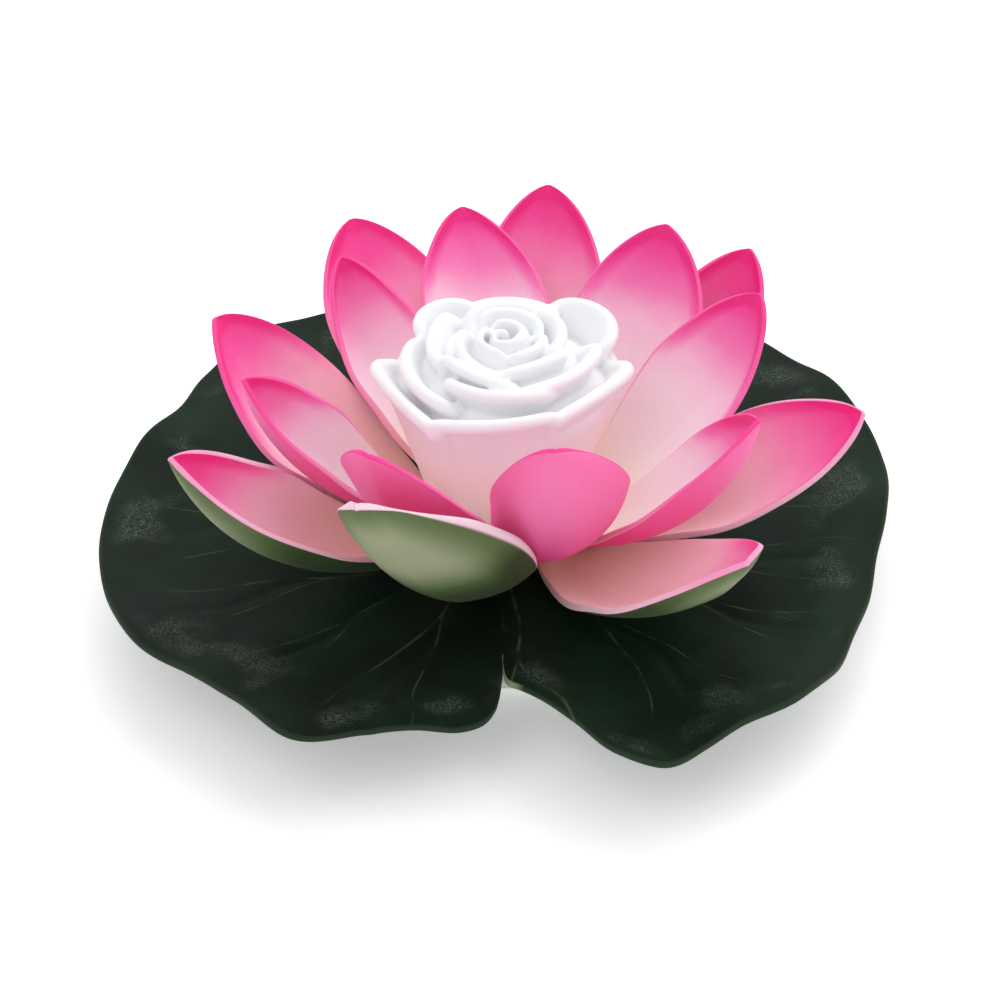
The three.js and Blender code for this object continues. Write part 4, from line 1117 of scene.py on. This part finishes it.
def build_electronics(steel):
    board = Shader("circuit_board_green", 0.35)
    x, y, _ = board.axes()
    tracks = board.cells(3.2, "DISTANCE_TO_EDGE").fall(0.05, 0.1)
    weave = (x * 6).sin() * (y * 6).sin()
    pads = board.cells(2.6).fall(0.16, 0.2)
    tone = board.mix(tracks, srgb(16, 84, 46), srgb(34, 118, 66))
    board.set("Base Color", board.mix(pads, tone, srgb(206, 190, 140)))
    board.set("Roughness", 0.3 + pads * 0.1 + (weave + 1) * 0.05)
    board.bump(tracks * 0.6 + weave * 0.1, 0.04)
    finish_node("control_board", board.material, 0.1)
    black = moulded("chip_black", srgb(26, 26, 28), 0.5, 0.03)
    finish_node("controller_chip", black, 0.15)
    finish_node("dropper_resistor", black, 0.12)
    finish_node("switch_body", moulded("switch_black", srgb(34, 34, 36), 0.45, 0.03), 0.2)
    grey = moulded("plunger_grey", srgb(150, 154, 158), 0.5, 0.03)
    plunger = turned("moulded_switch_plunger", band(0, 1.5, 5.4, 9), 40, (0, BUTTON_Y, 0), rim=0.2)
    piece(plunger, grey, "power_button")

    mask = Shader("led_board_white", 0.35)
    pads = mask.cells(4.2).fall(0.14, 0.18)
    haze = mask.noise(5, 2, 0.5)
    tone = mask.mix(haze, srgb(240, 240, 234), srgb(222, 222, 214))
    mask.set("Base Color", mask.mix(pads * 0.8, tone, srgb(196, 190, 170)))
    mask.set("Roughness", 0.32 + haze * 0.12)
    grain(mask, 0.8, 0.03)
    disc = turned("led_circuit_board", band(0, 18.6, 38.9, 40.1), 96, rim=0.15)
    combine(disc, [rod(1.25, 38, 41, s * LED_SCREW_X, 0, 24) for s in (-1, 1)], "DIFFERENCE")
    piece(disc, mask.material, node="led_board")
    epoxy = Shader("led_clear_epoxy", 0.08, Transmission_Weight=0.85, IOR=1.5)
    haze = epoxy.noise(1.5, 2, 0.5)
    epoxy.set("Base Color", epoxy.mix(haze, srgb(246, 250, 255), srgb(232, 238, 246)))
    epoxy.set("Roughness", 0.05 + haze * 0.08)
    grain(epoxy, 0.6, 0.01)
    dome = [(0, 40.4), (2.9, 40.4), (2.9, 41.4), (2.5, 41.4)]
    dome += [(2.5 * math.cos(t), 43.7 + 2.5 * math.sin(t)) for t in np.linspace(0, math.pi / 2, 9)[:-1]]
    dome += [(0, 46.2)]
    for k in range(3):
        place = (*polar(LED_CIRCLE_R, math.radians(90 + 120 * k)), 0)
        piece(turned(f"epoxy_led_{k + 1}", dome, 40, place), epoxy.material)
    shape = [(0, 36.8), (0.9, 37.2), (0.9, 40.4), (1.8, 40.4), (1.6, 41.3), (0, 41.5)]
    for k, x in enumerate((-LED_SCREW_X, LED_SCREW_X)):
        screw = turned(f"steel_led_screw_{k + 1}", shape, 32, rim=0.1)
        cross_screw(f"led_board_screw_{k + 1}", screw, (1.1, 0.22, 41.0, 42), (x, 0), steel)


LED_WIRE = [
    (3, -16.6, 13.6), (3.2, -16.2, 18), (3.4, -13.6, 25), (2.8, -10.5, 31), (2.6, -8.6, 36), (2.6, -8.2, 38.5),
]
RED_LEAD = [
    (25.3, -5.1, 15.9), (25.2, -5.2, 18.6), (23.4, -8.5, 20.1), (15, -13.6, 19.9), (8.5, -16.2, 17.5),
    (7.2, -16.8, 13.6),
]
BLACK_LEAD = [
    (-25.3, 17.1, 15.9), (-25.2, 17, 18.6), (-24.4, 13, 20.1), (-23, -4, 20.1), (-15, -13.6, 19.9),
    (-8.5, -16.2, 17.5), (-7.2, -16.8, 13.6),
]


def build_wires():
    looks = {}
    for color, tone in (("red", srgb(176, 30, 38)), ("black", srgb(26, 26, 28))):
        m = Shader(f"wire_pvc_{color}", 0.4)
        haze = m.noise(2, 3, 0.6)
        m.set("Base Color", m.mix(haze * 0.5, tone, scaled(tone, 0.6, 0.004)))
        m.set("Roughness", 0.32 + haze * 0.2)
        grain(m, 0.3, 0.02)
        looks[color] = m.material
    mirrored = [(-x, y, z) for x, y, z in LED_WIRE]
    routes = {
        "led_wire_red": LED_WIRE, "led_wire_black": mirrored,
        "battery_lead_red": RED_LEAD, "battery_lead_black": BLACK_LEAD,
    }
    for name, route in routes.items():
        color = name.rsplit("_", 1)[1]
        wire = tube("pvc_" + name, spline(route, 8), 0.5, 14)
        piece(wire, looks[color])


# ---------------- studio
CAMERA_ELEVATION = 36
CAMERA_DISTANCE = 1.1
CAMERA_AIM = (0, 0, 0.025)


def build_studio():
    bpy.ops.mesh.primitive_plane_add(size=40)
    floor = bpy.context.object
    floor.name = "studio_floor"
    m = Shader("studio_floor_white", 0.8, Specular_IOR_Level=0.1)
    haze = m.noise(400, 2, 0.5)
    m.set("Base Color", m.mix(haze, srgb(250, 250, 250), srgb(246, 247, 247)))
    m.set("Emission Color", (1, 1, 1, 1))
    m.set("Emission Strength", 0.3)
    floor.data.materials.append(m.material)

    scene = bpy.context.scene
    scene.view_settings.view_transform = "Standard"
    world = bpy.data.worlds.new("studio_world")
    scene.world = world
    world.use_nodes = True
    sky = world.node_tree.nodes["Background"]
    sky.inputs[0].default_value = (1, 1, 1, 1)
    sky.inputs[1].default_value = 0.72
    suns = [
        ("key", (-0.45, -0.55, 1.0), 40, 0.40),
        ("fill", (0.8, 0.35, 0.8), 50, 0.66),
        ("top", (0.1, 0.7, 0.95), 50, 0.76),
    ]
    for name, direction, spread, strength in suns:
        data = bpy.data.lights.new("studio_" + name, "SUN")
        data.angle = math.radians(spread)
        data.energy = strength
        lamp = bpy.data.objects.new("studio_" + name, data)
        lamp.rotation_euler = Vector(direction).to_track_quat("Z", "Y").to_euler()
        scene.collection.objects.link(lamp)

    data = bpy.data.cameras.new("camera")
    camera = bpy.data.objects.new("camera", data)
    scene.collection.objects.link(camera)
    elevation = math.radians(CAMERA_ELEVATION)
    back = Vector((0, -math.cos(elevation), math.sin(elevation)))
    camera.location = Vector(CAMERA_AIM) + back * CAMERA_DISTANCE
    camera.rotation_euler = (-back).to_track_quat("-Z", "Y").to_euler()
    data.sensor_width = 36
    data.lens = 111.6
    data.shift_x = -0.0025
    data.shift_y = 0.0295
    data.clip_start = 0.05
    data.clip_end = 60
    scene.camera = camera


build_petals()
build_leaf()
build_rose()
WHITE = moulded("case_plastic_white", srgb(236, 236, 230), 0.4)
STEEL = metal("steel_plated", (0.62, 0.63, 0.65, 1))
SEAL = rubber("seal_rubber_black", srgb(34, 34, 36))
build_foam_rings()
build_case(WHITE, STEEL, SEAL)
build_cover(WHITE, SEAL)
build_button()
build_battery_bay(STEEL)
build_electronics(STEEL)
build_wires()
build_studio()

bpy.context.view_layer.update()
